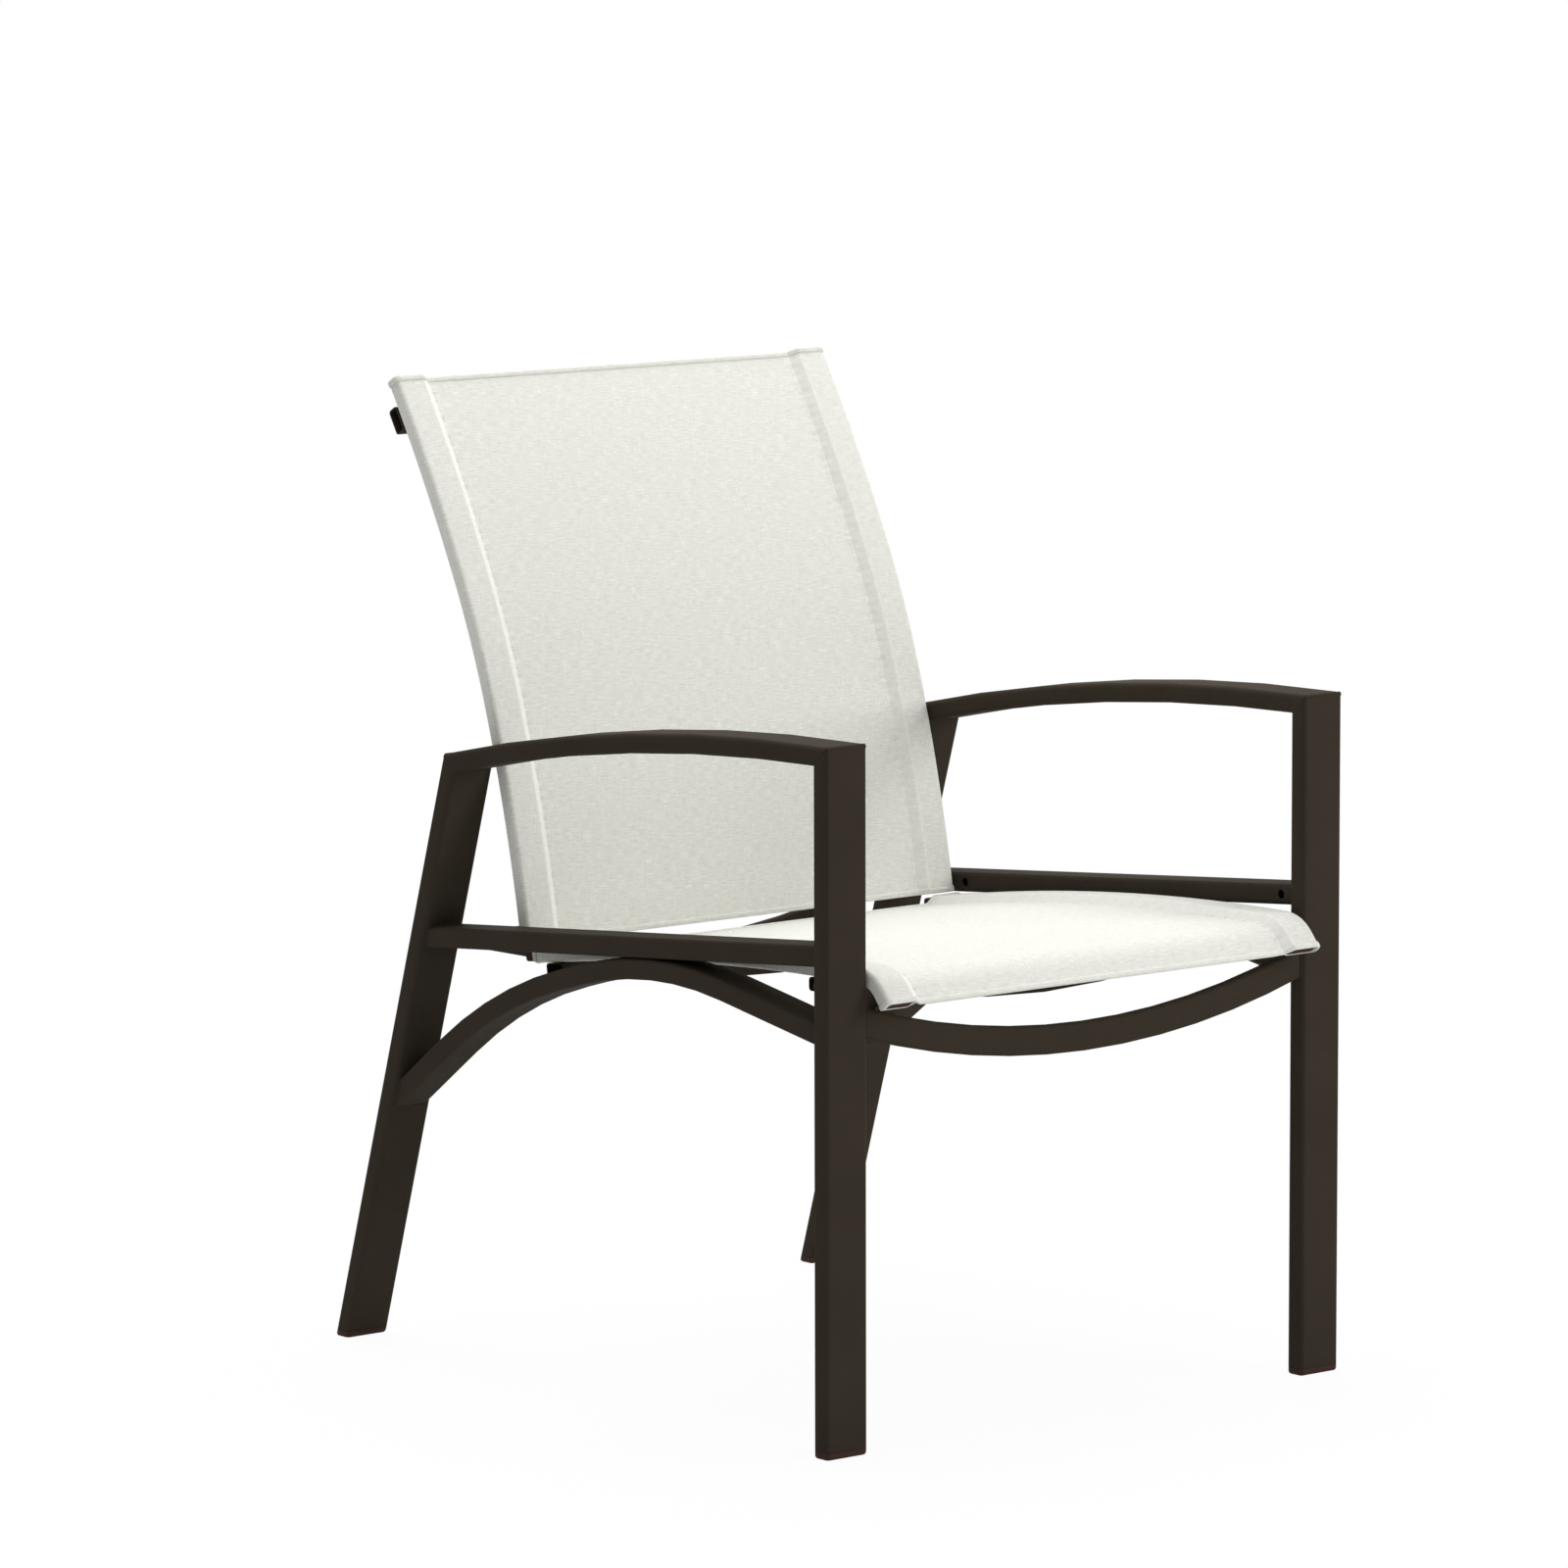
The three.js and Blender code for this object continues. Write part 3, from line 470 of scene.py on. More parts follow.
# %% Faces and UV places of a tube
def ring_faces(count, long, around, looped):
    """Four-sided faces from each ring to the next, and the two caps of every tube that isn't a loop."""
    number = np.arange(count * long * around).reshape(count, long, around)
    ring = slice(None) if looped else slice(0, -1)
    this, following = number[:, ring], np.roll(number, -1, axis=1)[:, ring]
    quads = np.stack([this, np.roll(this, -1, 2), np.roll(following, -1, 2), following], axis=-1)
    caps = np.zeros((0, around), int) if looped else np.concatenate([number[:, 0, ::-1], number[:, -1]])
    return quads, caps


def tube_places(rings, quad_shape):
    """UV corners of the faces: mean run from ring to ring, and mean way round a ring, both in metres."""
    gap = np.linalg.norm(np.diff(rings, axis=1, append=rings[:, :1]), axis=-1).mean(axis=(0, 2))
    width = np.linalg.norm(rings - np.roll(rings, -1, 2), axis=-1).mean(axis=(0, 1))
    u = np.concatenate([[0], np.cumsum(gap)])
    v = np.concatenate([[0], np.cumsum(width)])
    i, k = np.meshgrid(np.arange(quad_shape[1]), np.arange(quad_shape[2]), indexing="ij")
    corners_uv = [np.stack([u[i + di], v[k + dk]], -1) for di, dk in ((0, 0), (0, 1), (1, 1), (1, 0))]
    return np.broadcast_to(np.stack(corners_uv, axis=2), quad_shape[:3] + (4, 2)).reshape(-1, 4, 2)


print("a loop of 4 rings of 6 points has", ring_faces(1, 4, 6, True)[0][..., 0].size, "faces")

# %% Tubes
def tubes(name, rings, material, looped=False):
    """Closed tubes from rings[tube, ring, point], capped at both ends, or each joined into a loop."""
    quads, caps = ring_faces(*rings.shape[:3], looped)
    uv = tube_places(rings, quads.shape)
    quads = quads.reshape(-1, 4)
    local = (rings - rings.mean(axis=(1, 2), keepdims=True)).reshape(-1, 3)
    a, b, c, d = np.moveaxis(local[quads], 1, 0)
    if np.sum(a * np.cross(b, c)) + np.sum(a * np.cross(c, d)) <= 0:
        quads, uv, caps = quads[:, ::-1], uv[:, ::-1], caps[:, ::-1]
    places = np.concatenate([uv.reshape(-1, 2), np.zeros((caps.size, 2))])
    return put(name, rings.reshape(-1, 3), quads.tolist() + caps.tolist(), places, material)

# %% [markdown]
# ## The lines of the seat and the back
# Each sling follows one line in the chair's side view, the centreline of its rails. The seat dives over a
# tight waterfall at the front and then runs back almost straight. The back is three shallow arcs that lean
# away more and more. The fabric could be fitted to the rails' meshes, but the rails are drawn with these same
# arcs, so a line from the same numbers fits them to a tenth of a millimetre.

# %% Seat and back lines
front_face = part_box("front_leg_left")[0].y
crest_back, crest_height = 18 * mm, 430.4 * mm
waterfall_radius, waterfall_turn, waterfall_lip = 36.5 * mm, 50 * deg, 16 * mm
seat_radius, seat_turn, seat_tail = 2903 * mm, 7.95 * deg, 71 * mm
back_arcs = [(1568 * mm, 8.09 * deg), (888 * mm, 7.965 * deg), (1751 * mm, 6.689 * deg)]
back_lean, back_tail = 9.54 * deg, 7 * mm
back_foot = np.array([front_face + 502.9 * mm, 400.8 * mm])

waterfall = [(waterfall_lip, 0), arc(waterfall_radius, -waterfall_turn)]
seat_pieces = waterfall + [arc(seat_radius, -seat_turn), (seat_tail, 0)]
crest_run = total(waterfall)
dive = along((0, 0), waterfall_turn, waterfall, np.array([crest_run]))[0][0]
crest = np.array([front_face + crest_back, crest_height])
back_pieces = [arc(radius, -turn) for radius, turn in back_arcs] + [(back_tail, 0)]
lines = {
    "seat": (crest - dive, waterfall_turn, seat_pieces),
    "back": (back_foot, math.pi / 2 - back_lean, back_pieces),
}
line_length = {part: total(line[2]) for part, line in lines.items()}
print("the lines are", {part: round(length, 4) for part, length in line_length.items()}, "m long")


def lifted(line, lengths, across, off, back=0.0):
    """Points at lengths along a line, moved across the chair, off the line and back along it.

    A point is the line's place at (across, y, z), plus off times (-sin heading, cos heading), which points
    to the sitter, and back times (cos heading, sin heading). Each may be a grid with a column per length.
    """
    places, headings = along(*line, lengths)
    y = places[:, 0] - off * np.sin(headings) + back * np.cos(headings)
    z = places[:, 1] + off * np.cos(headings) + back * np.sin(headings)
    return np.stack(np.broadcast_arrays(across, y, z), axis=-1)


def axes_at(line, length):
    """The axes of a line's heading at one length, as directions of the chair: along it and to the sitter."""
    way, square = axes(along(*line, np.array([length]))[1][0])
    return np.array([0, *way]), np.array([0, *square])

# %% [markdown]
# ## The section of a sling
# Seen from its end, a sling is a sheet whose two edges are folded round the flat rails and sewn down to
# itself. The fold makes a drop: flat over the rail, round at the outboard edge, and sloping down to the seam
# inboard. A thin box round each rail could pass for it from afar, but its corners and its end would give it
# away. So the section is one more line of straights and arcs, from the middle of the sheet to the end of the
# folded flap, and its other half is its mirror image.

# %% Sling section
cloth_thickness = 1.3 * mm
cloth_gap = 0.15 * mm
flap_gap = 0.05 * cloth_thickness
rail_width, rail_depth, rail_corner = 31.75 * mm, 12.7 * mm, 3 * mm
drop_radius = rail_corner + cloth_gap + cloth_thickness
drop_half = rail_depth / 2 + cloth_gap + cloth_thickness
sleeve_edge = 260.3 * mm
flat_end = 230.1 * mm
slope = 38 * deg
seam_radius = 1.5 * mm
flap_length = 12 * mm


def sloped(rise):
    """Length of the straight slope between two arcs: what they leave of the rise, over sin(slope)."""
    return (rise - (drop_radius + seam_radius) * (1 - math.cos(slope))) / math.sin(slope)


def slope_run(rise):
    """How far such a slope and its arcs reach across: radii times sin(slope), straight times cos(slope)."""
    return (drop_radius + seam_radius) * math.sin(slope) + sloped(rise) * math.cos(slope)


upper_rise = drop_half - cloth_thickness / 2
lower_rise = drop_half - 1.5 * cloth_thickness - flap_gap
seam_at = flat_end - slope_run(upper_rise)
top = sleeve_edge - drop_radius - flat_end
side = 2 * (drop_half - drop_radius)
knee = arc(drop_radius, -slope)
valley = arc(seam_radius, slope)
outer = arc(drop_radius, -math.pi / 2)
section_pieces = [
    (seam_at, 0), valley, (sloped(upper_rise), 0), knee, (top, 0), outer,
    (side, 0), outer, (top, 0), knee, (sloped(lower_rise), 0), valley, (flap_length, 0),
]
section_steps = [26, 4, 6, 5, 6, 7, 2, 7, 5, 5, 4, 3, 3]
half_section = stepped(section_pieces, section_steps)
print("sheet is sewn", round(seam_at / mm, 1), "mm from the middle")

# %% Points on the section
def section(lengths):
    """Across, off, and the outward normal's two parts, at lengths from the middle of the sheet."""
    places, headings = along((0, cloth_thickness / 2), 0, section_pieces, lengths)
    return np.array([places[:, 0], places[:, 1], -np.sin(headings), np.cos(headings)])


under_from = total(section_pieces[:6]) + side / 2
under_to = total(section_pieces[:8])


def underside(lengths):
    """0 on the sitter's face of a sleeve and 1 below it: s^2 (3 - 2 s) of the share s of its lower edge."""
    share = np.clip((np.abs(lengths) - under_from) / (under_to - under_from), 0, 1)
    return share * share * (3 - 2 * share)


def both_halves(lengths):
    """The whole section from flap to flap, with signed lengths from the middle."""
    right = section(lengths)
    left = right[:, :0:-1] * np.array([[-1], [1], [-1], [1]])
    return np.concatenate([-lengths[:0:-1], lengths]), np.concatenate([left, right], axis=1)


print("sheet is", round(2 * half_section[-1], 4), "m wide before it is folded")

# %% [markdown]
# ## Sling fabric
# Sling mesh is woven from vinyl coated yarn about a millimetre thick, one over one under. The coating gives
# each crossing a small highlight, painted here into the colour as a lighter dot, and the crossings make a
# pattern of dots like the five on a die. Real yarns could be modelled, but more than 600,000 crossings would
# drown the computer. The height of the yarn that lies on top is a formula of the UV map instead: each yarn is
# round across, and rides up and down along its length like a cosine, opposite to its neighbours. The low
# places between the yarns get a painted shade, a dark grey. Yarns also vary in thickness, and from a few
# steps away those thick and thin stretches, called slubs, are all that is left of the weave: short streaks,
# mostly across the chair. On the sleeve's slope a whiter band is painted, a painted highlight along the
# slope.

# %% Sling fabric
yarn_across = 1.15 * mm
yarn_along = 0.925 * mm
# Painted shade: the next colour is painted into the low places between the yarns.
painted_gap_shade = (0.20, 0.20, 0.17, 1)
yarn_body = (0.72, 0.72, 0.66, 1)
# Painted highlight: the next colour is painted on the top of each crossing; the slubs' lighter streaks blend
# to it too.
highlight_and_slub_colour = (0.92, 0.92, 0.87, 1)
yarn_height = 0.22 * mm
weft_slub_scale = (90, 1000, 1)
warp_slub_scale = (850, 100, 1)
# Painted highlight: a whiter band along the sleeve's slope, in the next colour, at most the share below.
slope_highlight_colour = (0.93, 0.93, 0.89, 1)
slope_highlight_share = 0.3
slope_band_half = total([valley, (sloped(upper_rise), 0), knee]) / 2


def slubs(flat, scale):
    """Streaks of noise, stretched by a different scale in each direction of the cloth."""
    return noise(flat.node("ShaderNodeMapping", {}, {"Vector": flat, "Scale": scale}), 1.0, 1.0)


def sling_mesh(tree, painted_slope_band=False):
    """The top yarn's height: the greater of 1 - 4x^2 + ride and 1 - 4y^2 - ride, x and y off its middle."""
    flat = tree.node("ShaderNodeTexCoord", {}, {}, "UV")
    across = tree.node("ShaderNodeSeparateXYZ", {}, {0: flat}, "X") / yarn_across
    length = tree.node("ShaderNodeSeparateXYZ", {}, {0: flat}, "Y") / yarn_along
    column = tree.maths("ROUND", across)
    row = tree.maths("ROUND", length)
    x, y = across - column, length - row
    parity = tree.maths("COSINE", (column + row) * math.pi)
    ride_x = parity * tree.maths("COSINE", y * math.pi)
    ride_y = parity * tree.maths("COSINE", x * math.pi)
    warp = 1.0 - x * x * 4.0 + ride_x
    weft = 1.0 - y * y * 4.0 - ride_y
    height = tree.maths("MAXIMUM", warp, weft) * 0.5
    # The top of each crossing: it paints a highlight into the colour and makes the coating there glossier.
    crest_dot = tree.maths("MAXIMUM", ride_x * (1.0 - x * x * 4.0), 0.0)
    slub = slubs(flat, weft_slub_scale) * 0.95 + slubs(flat, warp_slub_scale) * 0.55 - 0.75
    # Painted shade: the low places between the yarns blend to the dark colour; slubs lighten and darken
    # streaks.
    body_and_gap_shade = blended(height * 1.5 + slub * 0.4 - 0.1, painted_gap_shade, yarn_body)
    colour = blended(crest_dot * 0.7 + slub, body_and_gap_shade, highlight_and_slub_colour)
    # Painted highlight: a whiter band along the sleeve's slope, on both sleeves.
    if painted_slope_band:
        from_middle = tree.maths("ABSOLUTE", across * yarn_across)
        beside = tree.maths("ABSOLUTE", from_middle - seam_at - slope_band_half) / slope_band_half
        colour = blended(tree.maths("MINIMUM", 2.0 - beside * 2.0, slope_highlight_share), colour, slope_highlight_colour)
    tilt = tree.node("ShaderNodeBump", {}, {"Height": height, "Strength": 0.6, "Distance": yarn_height})
    sockets = {"Base Color": colour, "Roughness": 0.75 - crest_dot * 0.25, "Normal": tilt}
    return tree.node("ShaderNodeBsdfPrincipled", {}, sockets)


fabric = finish("off_white_sling_mesh", lambda tree: sling_mesh(tree, painted_slope_band=True))
hem_fabric = finish("off_white_hem_mesh", sling_mesh)

# %% [markdown]
# ## Seat and back slings
# The fabric is pulled tight by the bars that spread the rails, so it is a taut surface and not a soft one: no
# simulation is needed. What gives it life is the row of small puckers that the sewing pulls up, deepest at
# the seam and almost gone a centimetre away. The section is carried along the sling's line as one grid, and a
# Solidify modifier gives it the thickness of the cloth on its inner side. At the seat's front the underside
# of each sleeve is cut back a little, so that it doesn't show below the front edge.

# %% Puckers, the cut and the sweep
pucker_depth = 0.35 * mm
pucker_pitch = 9 * mm
pucker_reach = 7 * mm
slow_share, slow_pitch, slow_start = 0.6, 2.63 * pucker_pitch, 1
cut_back = {"seat": 3 * mm, "back": 0.0}
cut_back_fade = 14 * mm


def puckered(u, v):
    """Depth of the puckers at places on the flat cloth.

    Two sines of different pitch along the seam, added, times a bell curve of the distance from it.
    """
    slow_wave = slow_share * np.sin(2 * math.pi * v / slow_pitch + slow_start)
    wave = np.sin(2 * math.pi * v / pucker_pitch) + slow_wave
    bell = np.exp(-(((np.abs(u) - seam_at) / pucker_reach) ** 2))
    return pucker_depth * wave * bell


def set_back(part, u, v):
    """How far back the underside of a sleeve begins: the cut, less and less of it along the sling."""
    return cut_back[part] * underside(u) * np.clip(1 - v / cut_back_fade, 0, 1)


def carried(part, u, shape, lift, lengths):
    """A section along a sling's line: its places plus lift times its normals, and set back by the cut."""
    across, off, normal_x, normal_off = shape[..., None]
    x = across + normal_x * lift
    rise = off + normal_off * lift
    return lifted(lines[part], lengths, x, rise, set_back(part, u[:, None], lengths))


deepest = puckered(seam_at, np.linspace(0, line_length["seat"], 1000)).max()
print("puckers are up to", round(deepest / mm, 2), "mm deep")

# %% Sling cloth
def sling(part, steps):
    """A sheet folded round both rails: the section at every length of the line."""
    u, shape = both_halves(half_section)
    v = stepped(lines[part][2], steps)
    points = carried(part, u, shape, puckered(u[:, None], v), v)
    piece = cloth_grid(f"{part}_sling_cloth", points, u, v, fabric)
    wall = piece.modifiers.new("cloth_thickness", "SOLIDIFY")
    wall.thickness = cloth_thickness
    wall.offset = -1
    wall.use_even_offset = True
    flat = (float(np.ptp(u)), float(np.ptp(v)))
    print(part, "sling is cut", round(flat[0], 4), "by", round(flat[1], 4), "m")
    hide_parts(f"{part}_sling")
    return piece, flat


slings = {"seat": sling("seat", [6, 16, 170, 30]), "back": sling("back", [80, 50, 76, 4])}

# %% [markdown]
# ## Hems
# The cut ends of the sheet are bound: a strip is folded over the edge and sewn through. It stands a
# millimetre proud round the sleeves too, apart from the seat's undersides, and that thin raised band is what
# makes the ends look sewn and not sawn. A bevel on the sheet couldn't stand proud, so each hem is a puffy
# closed tube carried along the section, with a profile that is a superellipse.

# %% Hems
hem_height = 5.5 * mm
hem_proud = 1.2 * mm
hem_proud_inside = 0.1 * mm
hem_thinner_below = {"seat": 0.9 * mm, "back": 0.0}
hem_roundness = 0.5
hem_points = 20
hem_steps = [20] + section_steps[1:]


def proud_at(part, u):
    """How far a hem stands out of the sheet's outer face."""
    return hem_proud - hem_thinner_below[part] * underside(u)


def powered(wave):
    """A sine or cosine raised to the superellipse's power, with its sign kept."""
    return np.sign(wave) * np.abs(wave) ** hem_roundness


def hem(name, part, at_end):
    """A band of superellipse profile, cos^n and sin^n of one angle, carried round the section."""
    u, shape = both_halves(stepped(section_pieces, hem_steps))
    turn = np.linspace(0, 2 * math.pi, hem_points, endpoint=False) - math.pi / 2
    run = hem_height / 2 * (1 + powered(np.cos(turn)))
    low = -cloth_thickness - np.where(np.abs(u) < seam_at, hem_proud, hem_proud_inside)
    high = proud_at(part, u)
    lift = (high + low)[:, None] / 2 + (high - low)[:, None] / 2 * powered(np.sin(turn))
    lengths = line_length[part] - run if at_end else run
    return tubes(name, carried(part, u, shape, lift, lengths)[None], hem_fabric)


hems = {
    "seat": [hem("seat_front_hem", "seat", False), hem("seat_rear_hem", "seat", True)],
    "back": [hem("back_bottom_hem", "back", False), hem("back_top_hem", "back", True)],
}

# %% [markdown]
# ## Stitches
# One row of lockstitch holds each sleeve, and one row holds each hem. A stitch is a short length of thread
# that dives into the cloth at both ends. Stitches could be a bump in the fabric's material, but then they
# would be missing from the mesh. All stitches of a sling are one array: a short six-sided tube, thick in its
# middle and sunk at its ends, repeated at every place along the rows.

# %% Thread
thread_dark = (0.66, 0.66, 0.60, 1)
thread_light = (0.80, 0.80, 0.75, 1)


def thread_surface(tree):
    place = tree.node("ShaderNodeTexCoord", {}, {}, "Object")
    colour = blended(noise(place, 1800.0), thread_dark, thread_light)
    return tree.node("ShaderNodeBsdfPrincipled", {}, {"Base Color": colour, "Roughness": 0.7})


sewing_thread = finish("sewing_thread", thread_surface)

# %% One stitch
stitch_pitch = 3.6 * mm
stitch_length = 2.9 * mm
stitch_rings, stitch_sides = 5, 6
thread = 0.5 * mm
thread_end = 0.25
crown_rise, end_sink = thread * 0.35, thread * 0.15


def stitched(middles, ways, normals):
    """Rings of one small tube for each middle.

    With r from -1 to 1 along it, its thickness follows 1 - r^4, down to thread_end, and its lift 1 - r^2.
    """
    r = np.linspace(-1, 1, stitch_rings)
    turn = np.arange(stitch_sides) * 2 * math.pi / stitch_sides
    sides = np.cross(ways, normals)
    radius = thread / 2 * np.maximum(1 - r ** 4, thread_end)
    run = r * stitch_length / 2
    lift = crown_rise * (1 - r ** 2) - end_sink
    out = lift[:, None] + radius[:, None] * np.cos(turn)
    beside = radius[:, None] * np.sin(turn)
    middles, ways, normals, sides = (a[:, None, None, :] for a in (middles, ways, normals, sides))
    return middles + ways * run[:, None, None] + normals * out[..., None] + sides * beside[..., None]


print("a stitch is", round(stitch_length / mm, 1), "mm of", round(thread / mm, 1), "mm thread")

# %% Rows of stitches
seam_inset = 2.2 * mm


def seam_rows(part):
    """Stitches along the sleeves' seams, on the sitter's face of the sheet."""
    line = lines[part]
    end = line_length[part] - hem_height - stitch_pitch / 2
    lengths = np.arange(hem_height + stitch_pitch, end, stitch_pitch)
    heading = along(*line, lengths)[1]
    zero = np.zeros_like(heading)
    ways = np.stack([zero, np.cos(heading), np.sin(heading)], axis=-1)
    normals = np.stack([zero, -np.sin(heading), np.cos(heading)], axis=-1)
    across = [hand * (seam_at - seam_inset) for hand in (-1, 1)]
    rows = [stitched(lifted(line, lengths, x, cloth_thickness / 2), ways, normals) for x in across]
    return np.concatenate(rows)


def hem_rows(part):
    """Stitches across both hems, on the band's crown, all round the section."""
    reach = total(section_pieces) - flap_length
    lengths = np.arange(-reach, reach, stitch_pitch)
    across, off, normal_x, normal_off = section(np.abs(lengths))
    hand = np.where(lengths < 0, -1, 1)
    line = lines[part]
    right = np.array([1.0, 0, 0])
    rows = []
    for length in (hem_height / 2, line_length[part] - hem_height / 2):
        up = axes_at(line, length)[1]
        normals = (hand * normal_x)[:, None] * right + normal_off[:, None] * up
        ways = normal_off[:, None] * right - (hand * normal_x)[:, None] * up
        crown = lifted(line, length + set_back(part, lengths, length), hand * across, off)
        rows.append(stitched(crown + normals * proud_at(part, lengths)[:, None], ways, normals))
    return np.concatenate(rows)


for part in lines:
    rows = np.concatenate([seam_rows(part), hem_rows(part)])
    tubes(f"{part}_stitches", rows, sewing_thread)

# %% [markdown]
# ## What each sheet was cut to
# A sheet that is folded and stretched hides its real size. Each sling's flat width, from flap end to
# flap end, and its length are worked out and printed where the sling is made.

# %% [markdown]
# ## Weld beads
# Where one tube ends against another, a bead of weld runs round it. The tubes meet bare in the loaded frame,
# so the bead is what ties them together to the eye. Its line is the tube's own rounded outline, slid along
# the tube until it meets the plane of the other. A small ellipse carried along that line, swelling a little
# at every pass of the torch, is the bead. Texture alone could fake it on a flat face, but not along an inner
# corner.

# %% Outlines where tubes meet
outline_points = 168


def rounded_outline(width, depth, corner):
    """Even points on a rounded rectangle: across and off, all round."""
    bend = arc(corner, math.pi / 2)
    sides = [(depth - 2 * corner, 0), bend, (width - 2 * corner, 0), bend] * 2
    lengths = np.linspace(0, total(sides), outline_points, endpoint=False)
    return along((width / 2, corner - depth / 2), math.pi / 2, sides, lengths)[0]


def cut_outline(width, depth, corner, start, heading, cut, cut_heading):
    """Where a tube's skin meets a plane: each point of its outline slides along the tube to the plane."""
    across, off = rounded_outline(width, depth, corner).T
    way, aside = axes(heading)
    skin = np.array(start) + off[:, None] * aside
    square = axes(cut_heading)[1]
    run = ((np.array(cut) - skin) @ square) / (way @ square)
    return across, skin + run[:, None] * way


print("an outline is a ring of", outline_points, "points")

# %% A bead of weld
torch_pitch = 2.2 * mm
bead_sides = 8


def bead(path, square, proud, half_width, ripple):
    """An ellipse carried round a closed path, its two axes outwards and square to the path's plane.

    Its size swells by 1 + ripple * cos(angle), where the angle makes one turn for each pass of the torch.
    """
    tangent = np.roll(path, -1, 0) - np.roll(path, 1, 0)
    tangent /= np.linalg.norm(tangent, axis=1, keepdims=True)
    out = np.cross(tangent, square)
    out *= np.sign(np.sum(out * (path - path.mean(0))))
    step = np.linalg.norm(np.roll(path, -1, 0) - path, axis=1)
    passes = round(step.sum() / torch_pitch)
    swell = 1 + ripple * np.cos(2 * math.pi * passes * np.cumsum(step) / step.sum())
    turn = np.arange(bead_sides) * 2 * math.pi / bead_sides
    rise = proud * swell[:, None] * np.cos(turn)
    reach = half_width * swell[:, None] * np.sin(turn)
    return path[:, None] + rise[..., None] * out[:, None] + reach[..., None] * square


print("the torch stops every", round(torch_pitch / mm, 1), "mm")

# %% [markdown]
# ## Mitred corners
# The arm meets both legs at a mitre, and the tubes differ in depth, so the cut isn't at half the angle. It
# runs from the corner where the two outer faces cross to the one where the two inner faces cross. Each face
# is a straight line in the side view, moved off its tube's centreline by half the tube's depth. The outer
# corner was rounded after welding, so the bead starts a little way in. It is ground flush, a hair proud.

# %% Legs and arms in the side view
leg_centre, leg_width = 286.4 * mm, 47.8 * mm
front_leg_depth, rear_leg_depth, arm_depth = 20.5 * mm, 20.3 * mm, 18.7 * mm
arm_radius, arm_reach, arm_top = 2468 * mm, 543.1 * mm, 640.5 * mm
rear_foot_back = 719.2 * mm
mitre_rounding = 4 * mm

leg_line = front_leg_depth / 2
arm_height = arm_top - arm_depth / 2
arm_turn = math.asin(arm_reach / arm_radius)
arm_front = np.array([leg_line, arm_height])
arm_back = np.array([leg_line + arm_reach, arm_height - arm_radius * (1 - math.cos(arm_turn))])
rear_foot = np.array([leg_line + rear_foot_back, 0])
rear_heading = math.atan2(arm_back[1] - rear_foot[1], arm_back[0] - rear_foot[0])


def edge(corner, heading, offset):
    """A point of a tube's face in the side view: the corner plus offset times (-sin heading, cos heading)."""
    return corner + offset * axes(heading)[1]


rear_front = edge(rear_foot, rear_heading, rear_leg_depth / 2)
print("rear legs lean", round(rear_heading / deg - 90, 2), "degrees")

# %% The cut at a mitred corner
def crossing(a, a_heading, b, b_heading):
    """Where the line through a meets the line through b: a run along the first until it is level with b."""
    way, square = axes(a_heading)[0], axes(b_heading)[1]
    return a + way * ((b - a) @ square) / (way @ square)


def corner_cut(corner, leg_heading, leg_half, arm_heading, hand):
    """The plane through a mitre's outer and inner edges: a point, its heading and the rounding's inset."""
    far, near = (crossing(edge(corner, leg_heading, face * hand * leg_half), leg_heading,
                          edge(corner, arm_heading, face * arm_depth / 2), arm_heading) for face in (1, -1))
    cut_heading = math.atan2(near[1] - far[1], near[0] - far[0])
    inset = mitre_rounding * (1 / abs(math.sin(leg_heading - cut_heading)) - 1)
    return far, cut_heading, inset


front_mitre = corner_cut(arm_front, math.pi / 2, front_leg_depth / 2, 0, 1)
rear_mitre = corner_cut(arm_back, rear_heading, rear_leg_depth / 2, -arm_turn, -1)
print("mitres are cut at", [round(mitre[1] / deg, 1) for mitre in (front_mitre, rear_mitre)], "degrees")

# %% [markdown]
# ## Welds of the side frames
# Each side has six welds: both ends of the side rail, both ends of the arch brace and the arm's two mitres.
# The rail and the brace end at a leg's inner face, where the bead is a fillet that fills the corner. A list
# gives each weld its tube, the tube's end and heading, and the plane that it ends on.

# %% Side frame welds
def side_bead(tube, start, heading, cut, cut_heading, inset, weld, hand):
    """A bead in a side frame, where a line's first axis runs back along the chair.

    Along the cut, the bead begins at the inset, which is where a mitre's outer corner has been rounded.
    """
    across, flat = cut_outline(*tube, start, heading, cut, cut_heading)
    way, square = axes(cut_heading)
    flat += np.maximum(inset - (flat - cut) @ way, 0)[:, None] * way
    path = np.stack([hand * (leg_centre + across), flat[:, 0] + front_face, flat[:, 1]], axis=-1)
    return bead(path, np.array([0, *square]), *weld)


fillet, flush = (1.2 * mm, 1.2 * mm, 0.1), (0.15 * mm, 1.3 * mm, 0.0)
no_rounding = -math.inf
side_tube_width, tube_corner, arm_corner = 38.1 * mm, 4 * mm, 5 * mm
rail_tube = (side_tube_width, 19.5 * mm, tube_corner)
arch_tube = (side_tube_width, 19.3 * mm, tube_corner)
arm_tube = (leg_width, arm_depth, arm_corner)
rail_start, rail_rise = np.array([front_leg_depth, 451.8 * mm]), -5.006 * deg
arch_start, arch_rise = np.array([front_leg_depth, 380.83 * mm]), 9.7 * deg
arch_pieces = [(139.2 * mm, 0), arc(472 * mm, -25.36 * deg), (30.2 * mm, 0),
               arc(556 * mm, -20.38 * deg), (120 * mm, 0)]
arch_run = np.array([total(arch_pieces)])
arch_end, arch_fall = (found[0] for found in along(arch_start, arch_rise, arch_pieces, arch_run))
on_front_leg = (np.array([front_leg_depth, 0]), math.pi / 2, no_rounding, fillet)
on_rear_leg = (rear_front, rear_heading, no_rounding, fillet)
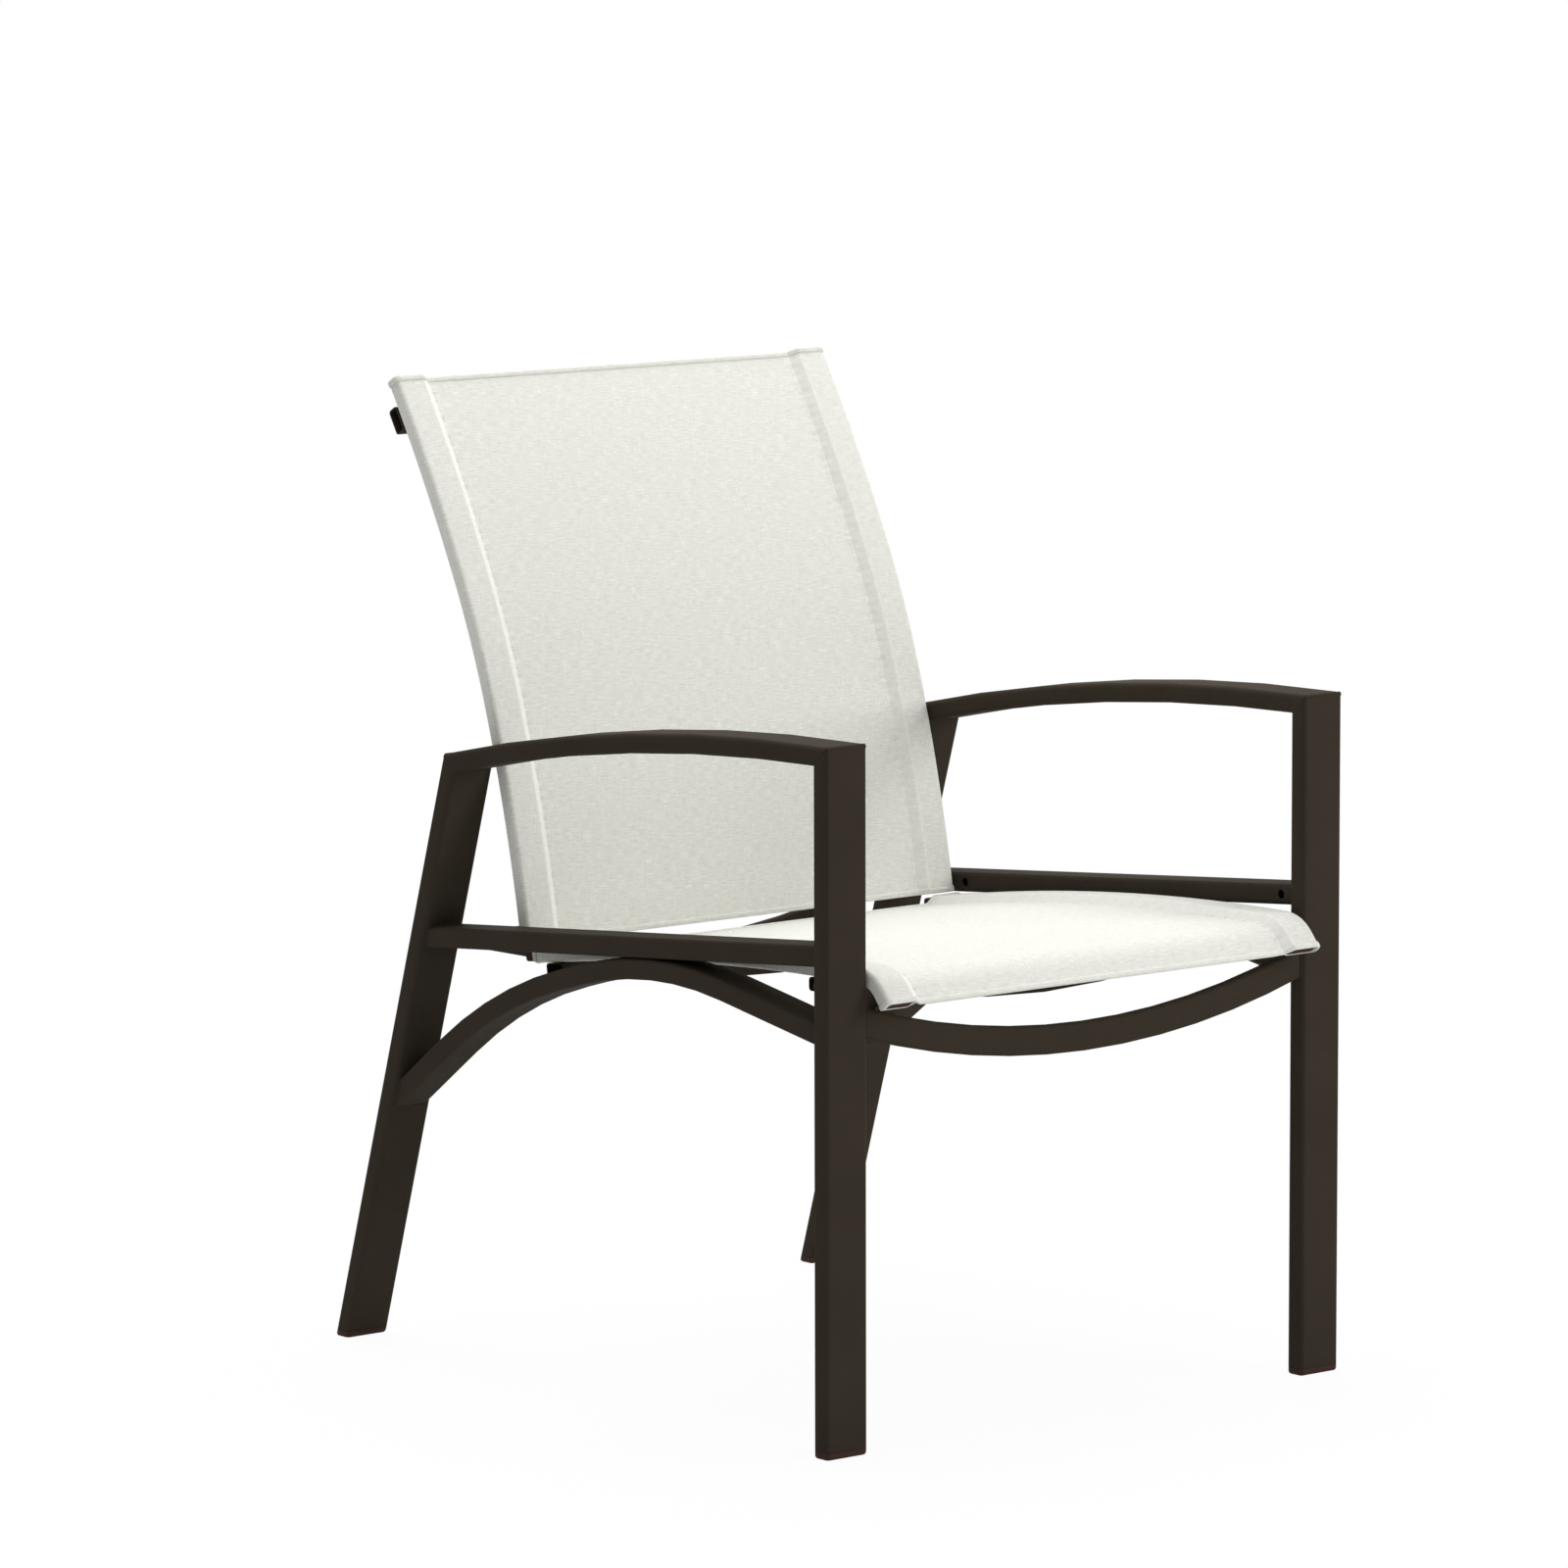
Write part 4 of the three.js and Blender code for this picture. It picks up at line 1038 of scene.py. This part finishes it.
side_welds = [
    (rail_tube, rail_start, rail_rise, *on_front_leg),
    (rail_tube, rail_start, rail_rise, *on_rear_leg),
    (arch_tube, arch_start, arch_rise, *on_front_leg),
    (arch_tube, arch_end, arch_fall, *on_rear_leg),
    (arm_tube, arm_front, 0, *front_mitre, flush),
    (arm_tube, arm_back, -arm_turn, *rear_mitre, flush),
]
for side_name, hand in (("left", 1), ("right", -1)):
    beads = np.array([side_bead(*weld, hand) for weld in side_welds])
    tubes(f"welds_{side_name}", beads, coat, looped=True)

# %% [markdown]
# ## Welds of the stretchers
# The two stretchers are arcs that sag from leg to leg, and they meet the legs at an angle. An arc that sags
# by b over a half span s swings by 2 atan(b / s) at its end. With that heading the same two helpers as before
# make the bead, in a plane across the chair.

# %% Stretcher welds
leg_face = leg_centre - leg_width / 2
stretcher_depth = 12.7 * mm
front_end, front_bow, front_height = 389.7 * mm, 40 * mm, 27 * mm
rear_end, rear_bow, rear_height = 400.3 * mm, 42 * mm, 17 * mm


def stretcher_beads(end_height, bow, height, place):
    """The two beads of a stretcher, whose line is an arc in a plane across the chair."""
    swing = 2 * math.atan(bow / leg_face)
    tube = (stretcher_depth, height, tube_corner)
    beads = []
    for hand in (-1, 1):
        across, flat = cut_outline(*tube, (hand * leg_face, end_height), hand * swing,
                                   (hand * leg_face, 0), math.pi / 2)
        path = np.stack([flat[:, 0], place + across, flat[:, 1]], axis=-1)
        beads.append(bead(path, np.array([1.0, 0, 0]), *fillet))
    return beads


rear_place = rear_foot[0] + rear_end / math.tan(rear_heading)
stretcher_welds = stretcher_beads(front_end, front_bow, front_height, front_face + leg_line)
stretcher_welds += stretcher_beads(rear_end, rear_bow, rear_height, front_face + rear_place)
tubes("welds_stretchers", np.array(stretcher_welds), coat, looped=True)

# %% [markdown]
# ## Screws
# Low button-head machine screws clamp the bars and tabs through the fabric into the rails. The head is a dome
# with a hexagonal socket for a key. A turned shape alone can't have a hexagon in it, so each ring of points
# blends between a circle and a hexagon: the dome's rings are circles and the socket's rings hexagons, whose
# radius at an angle is the flat's distance divided by the cosine of the angle to the flat's middle. Each ring
# of the head is listed by its radius in mm, 1 for a hexagon or 0 for a circle, and its height in mm.

# %% The shape of a screw
screw_sides = 24
clearance = 0.3 * mm
nut_height, tip_short = 6 * mm, 0.1 * mm
shank_radius, tip_radius, tip_taper = 3 * mm, 2.4 * mm, 0.6 * mm
seats_on = drop_half + clearance
tip = rail_depth / 2 - nut_height - tip_short
rail_centre = sleeve_edge - cloth_thickness - cloth_gap - rail_width / 2
head_rings = [(5.5, 0, 0), (5.5, 0, 0.8), (5.2, 0, 1.4), (4.5, 0, 2.1), (3.5, 0, 2.7), (2.7, 0, 3.0),
              (2.1, 1, 3.0), (2.0, 1, 2.9), (2.0, 1, 1.2), (0.9, 0, 0.9)]


def screw(name, line, length, hand, grip):
    """Rings up the screw's axis, which points away from the sitter, out through the fabric."""
    foot = seats_on + grip + clearance
    shank = [(tip_radius, 0, tip), (shank_radius, 0, tip + tip_taper), (shank_radius, 0, foot)]
    head = [(radius * mm, hexagon, foot + height * mm) for radius, hexagon, height in head_rings]
    radius, hexagon, height = np.array(shank + head).T[:, :, None]
    turn = np.arange(screw_sides) * 2 * math.pi / screw_sides
    to_flat = np.cos((turn + math.pi / 6) % (math.pi / 3) - math.pi / 6)
    reach = radius * (1 - hexagon) + hexagon * radius / to_flat
    up, to_sitter = axes_at(line, length)
    centre = lifted(line, np.array([length]), hand * rail_centre, 0.0)[0]
    rings = centre - height[..., None] * to_sitter + (reach * np.sin(turn))[..., None] * up
    rings[..., 0] += reach * np.cos(turn)
    piece = tubes(name, rings[None], zinc)
    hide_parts(name.replace("fixing_", ""))


print("a screw sits", round(rail_centre / mm, 2), "mm from the middle, in", len(head_rings) + 3, "rings")

# %% [markdown]
# ## Where the screws sit
# Every screw stands square to its rail, so its place is a length along the seat's or the back's line and a
# side. The front tab follows the leg that it is welded to. The upper tab of the back follows the arm's rear
# corner, and its length is read off the line by interpolating the height.

# %% Screws
bar_grip, tab_grip = 12.7 * mm, 4 * mm
tab_gap, tab_width, upper_tab_rise = 0.6 * mm, 27 * mm, 4.8 * mm
front_tab = crest_run - crest_back + front_leg_depth + tab_gap + tab_width / 2
back_lengths = stepped(back_pieces, [40, 40, 40, 2])
back_heights = along(*lines["back"], back_lengths)[0][:, 1]
upper_tab = np.interp(arm_back[1] + upper_tab_rise, back_heights, back_lengths)
fixings = [
    ("seat_bar_front", crest_run + 56 * mm, bar_grip),
    ("seat_bar_rear", crest_run + 443 * mm, bar_grip),
    ("back_bar_top", 520 * mm, bar_grip),
    ("seat_front_tab", front_tab, tab_grip),
    ("seat_rear_tab", crest_run + 324 * mm, tab_grip),
    ("back_lower_tab", 12.2 * mm, tab_grip),
    ("back_upper_tab", upper_tab, tab_grip),
]
for fixed, length, grip in fixings:
    line = lines[fixed.split("_")[0]]
    for side_name, hand in (("left", 1), ("right", -1)):
        screw(f"fixing_{fixed}_screw_{side_name}", line, length, hand, grip)
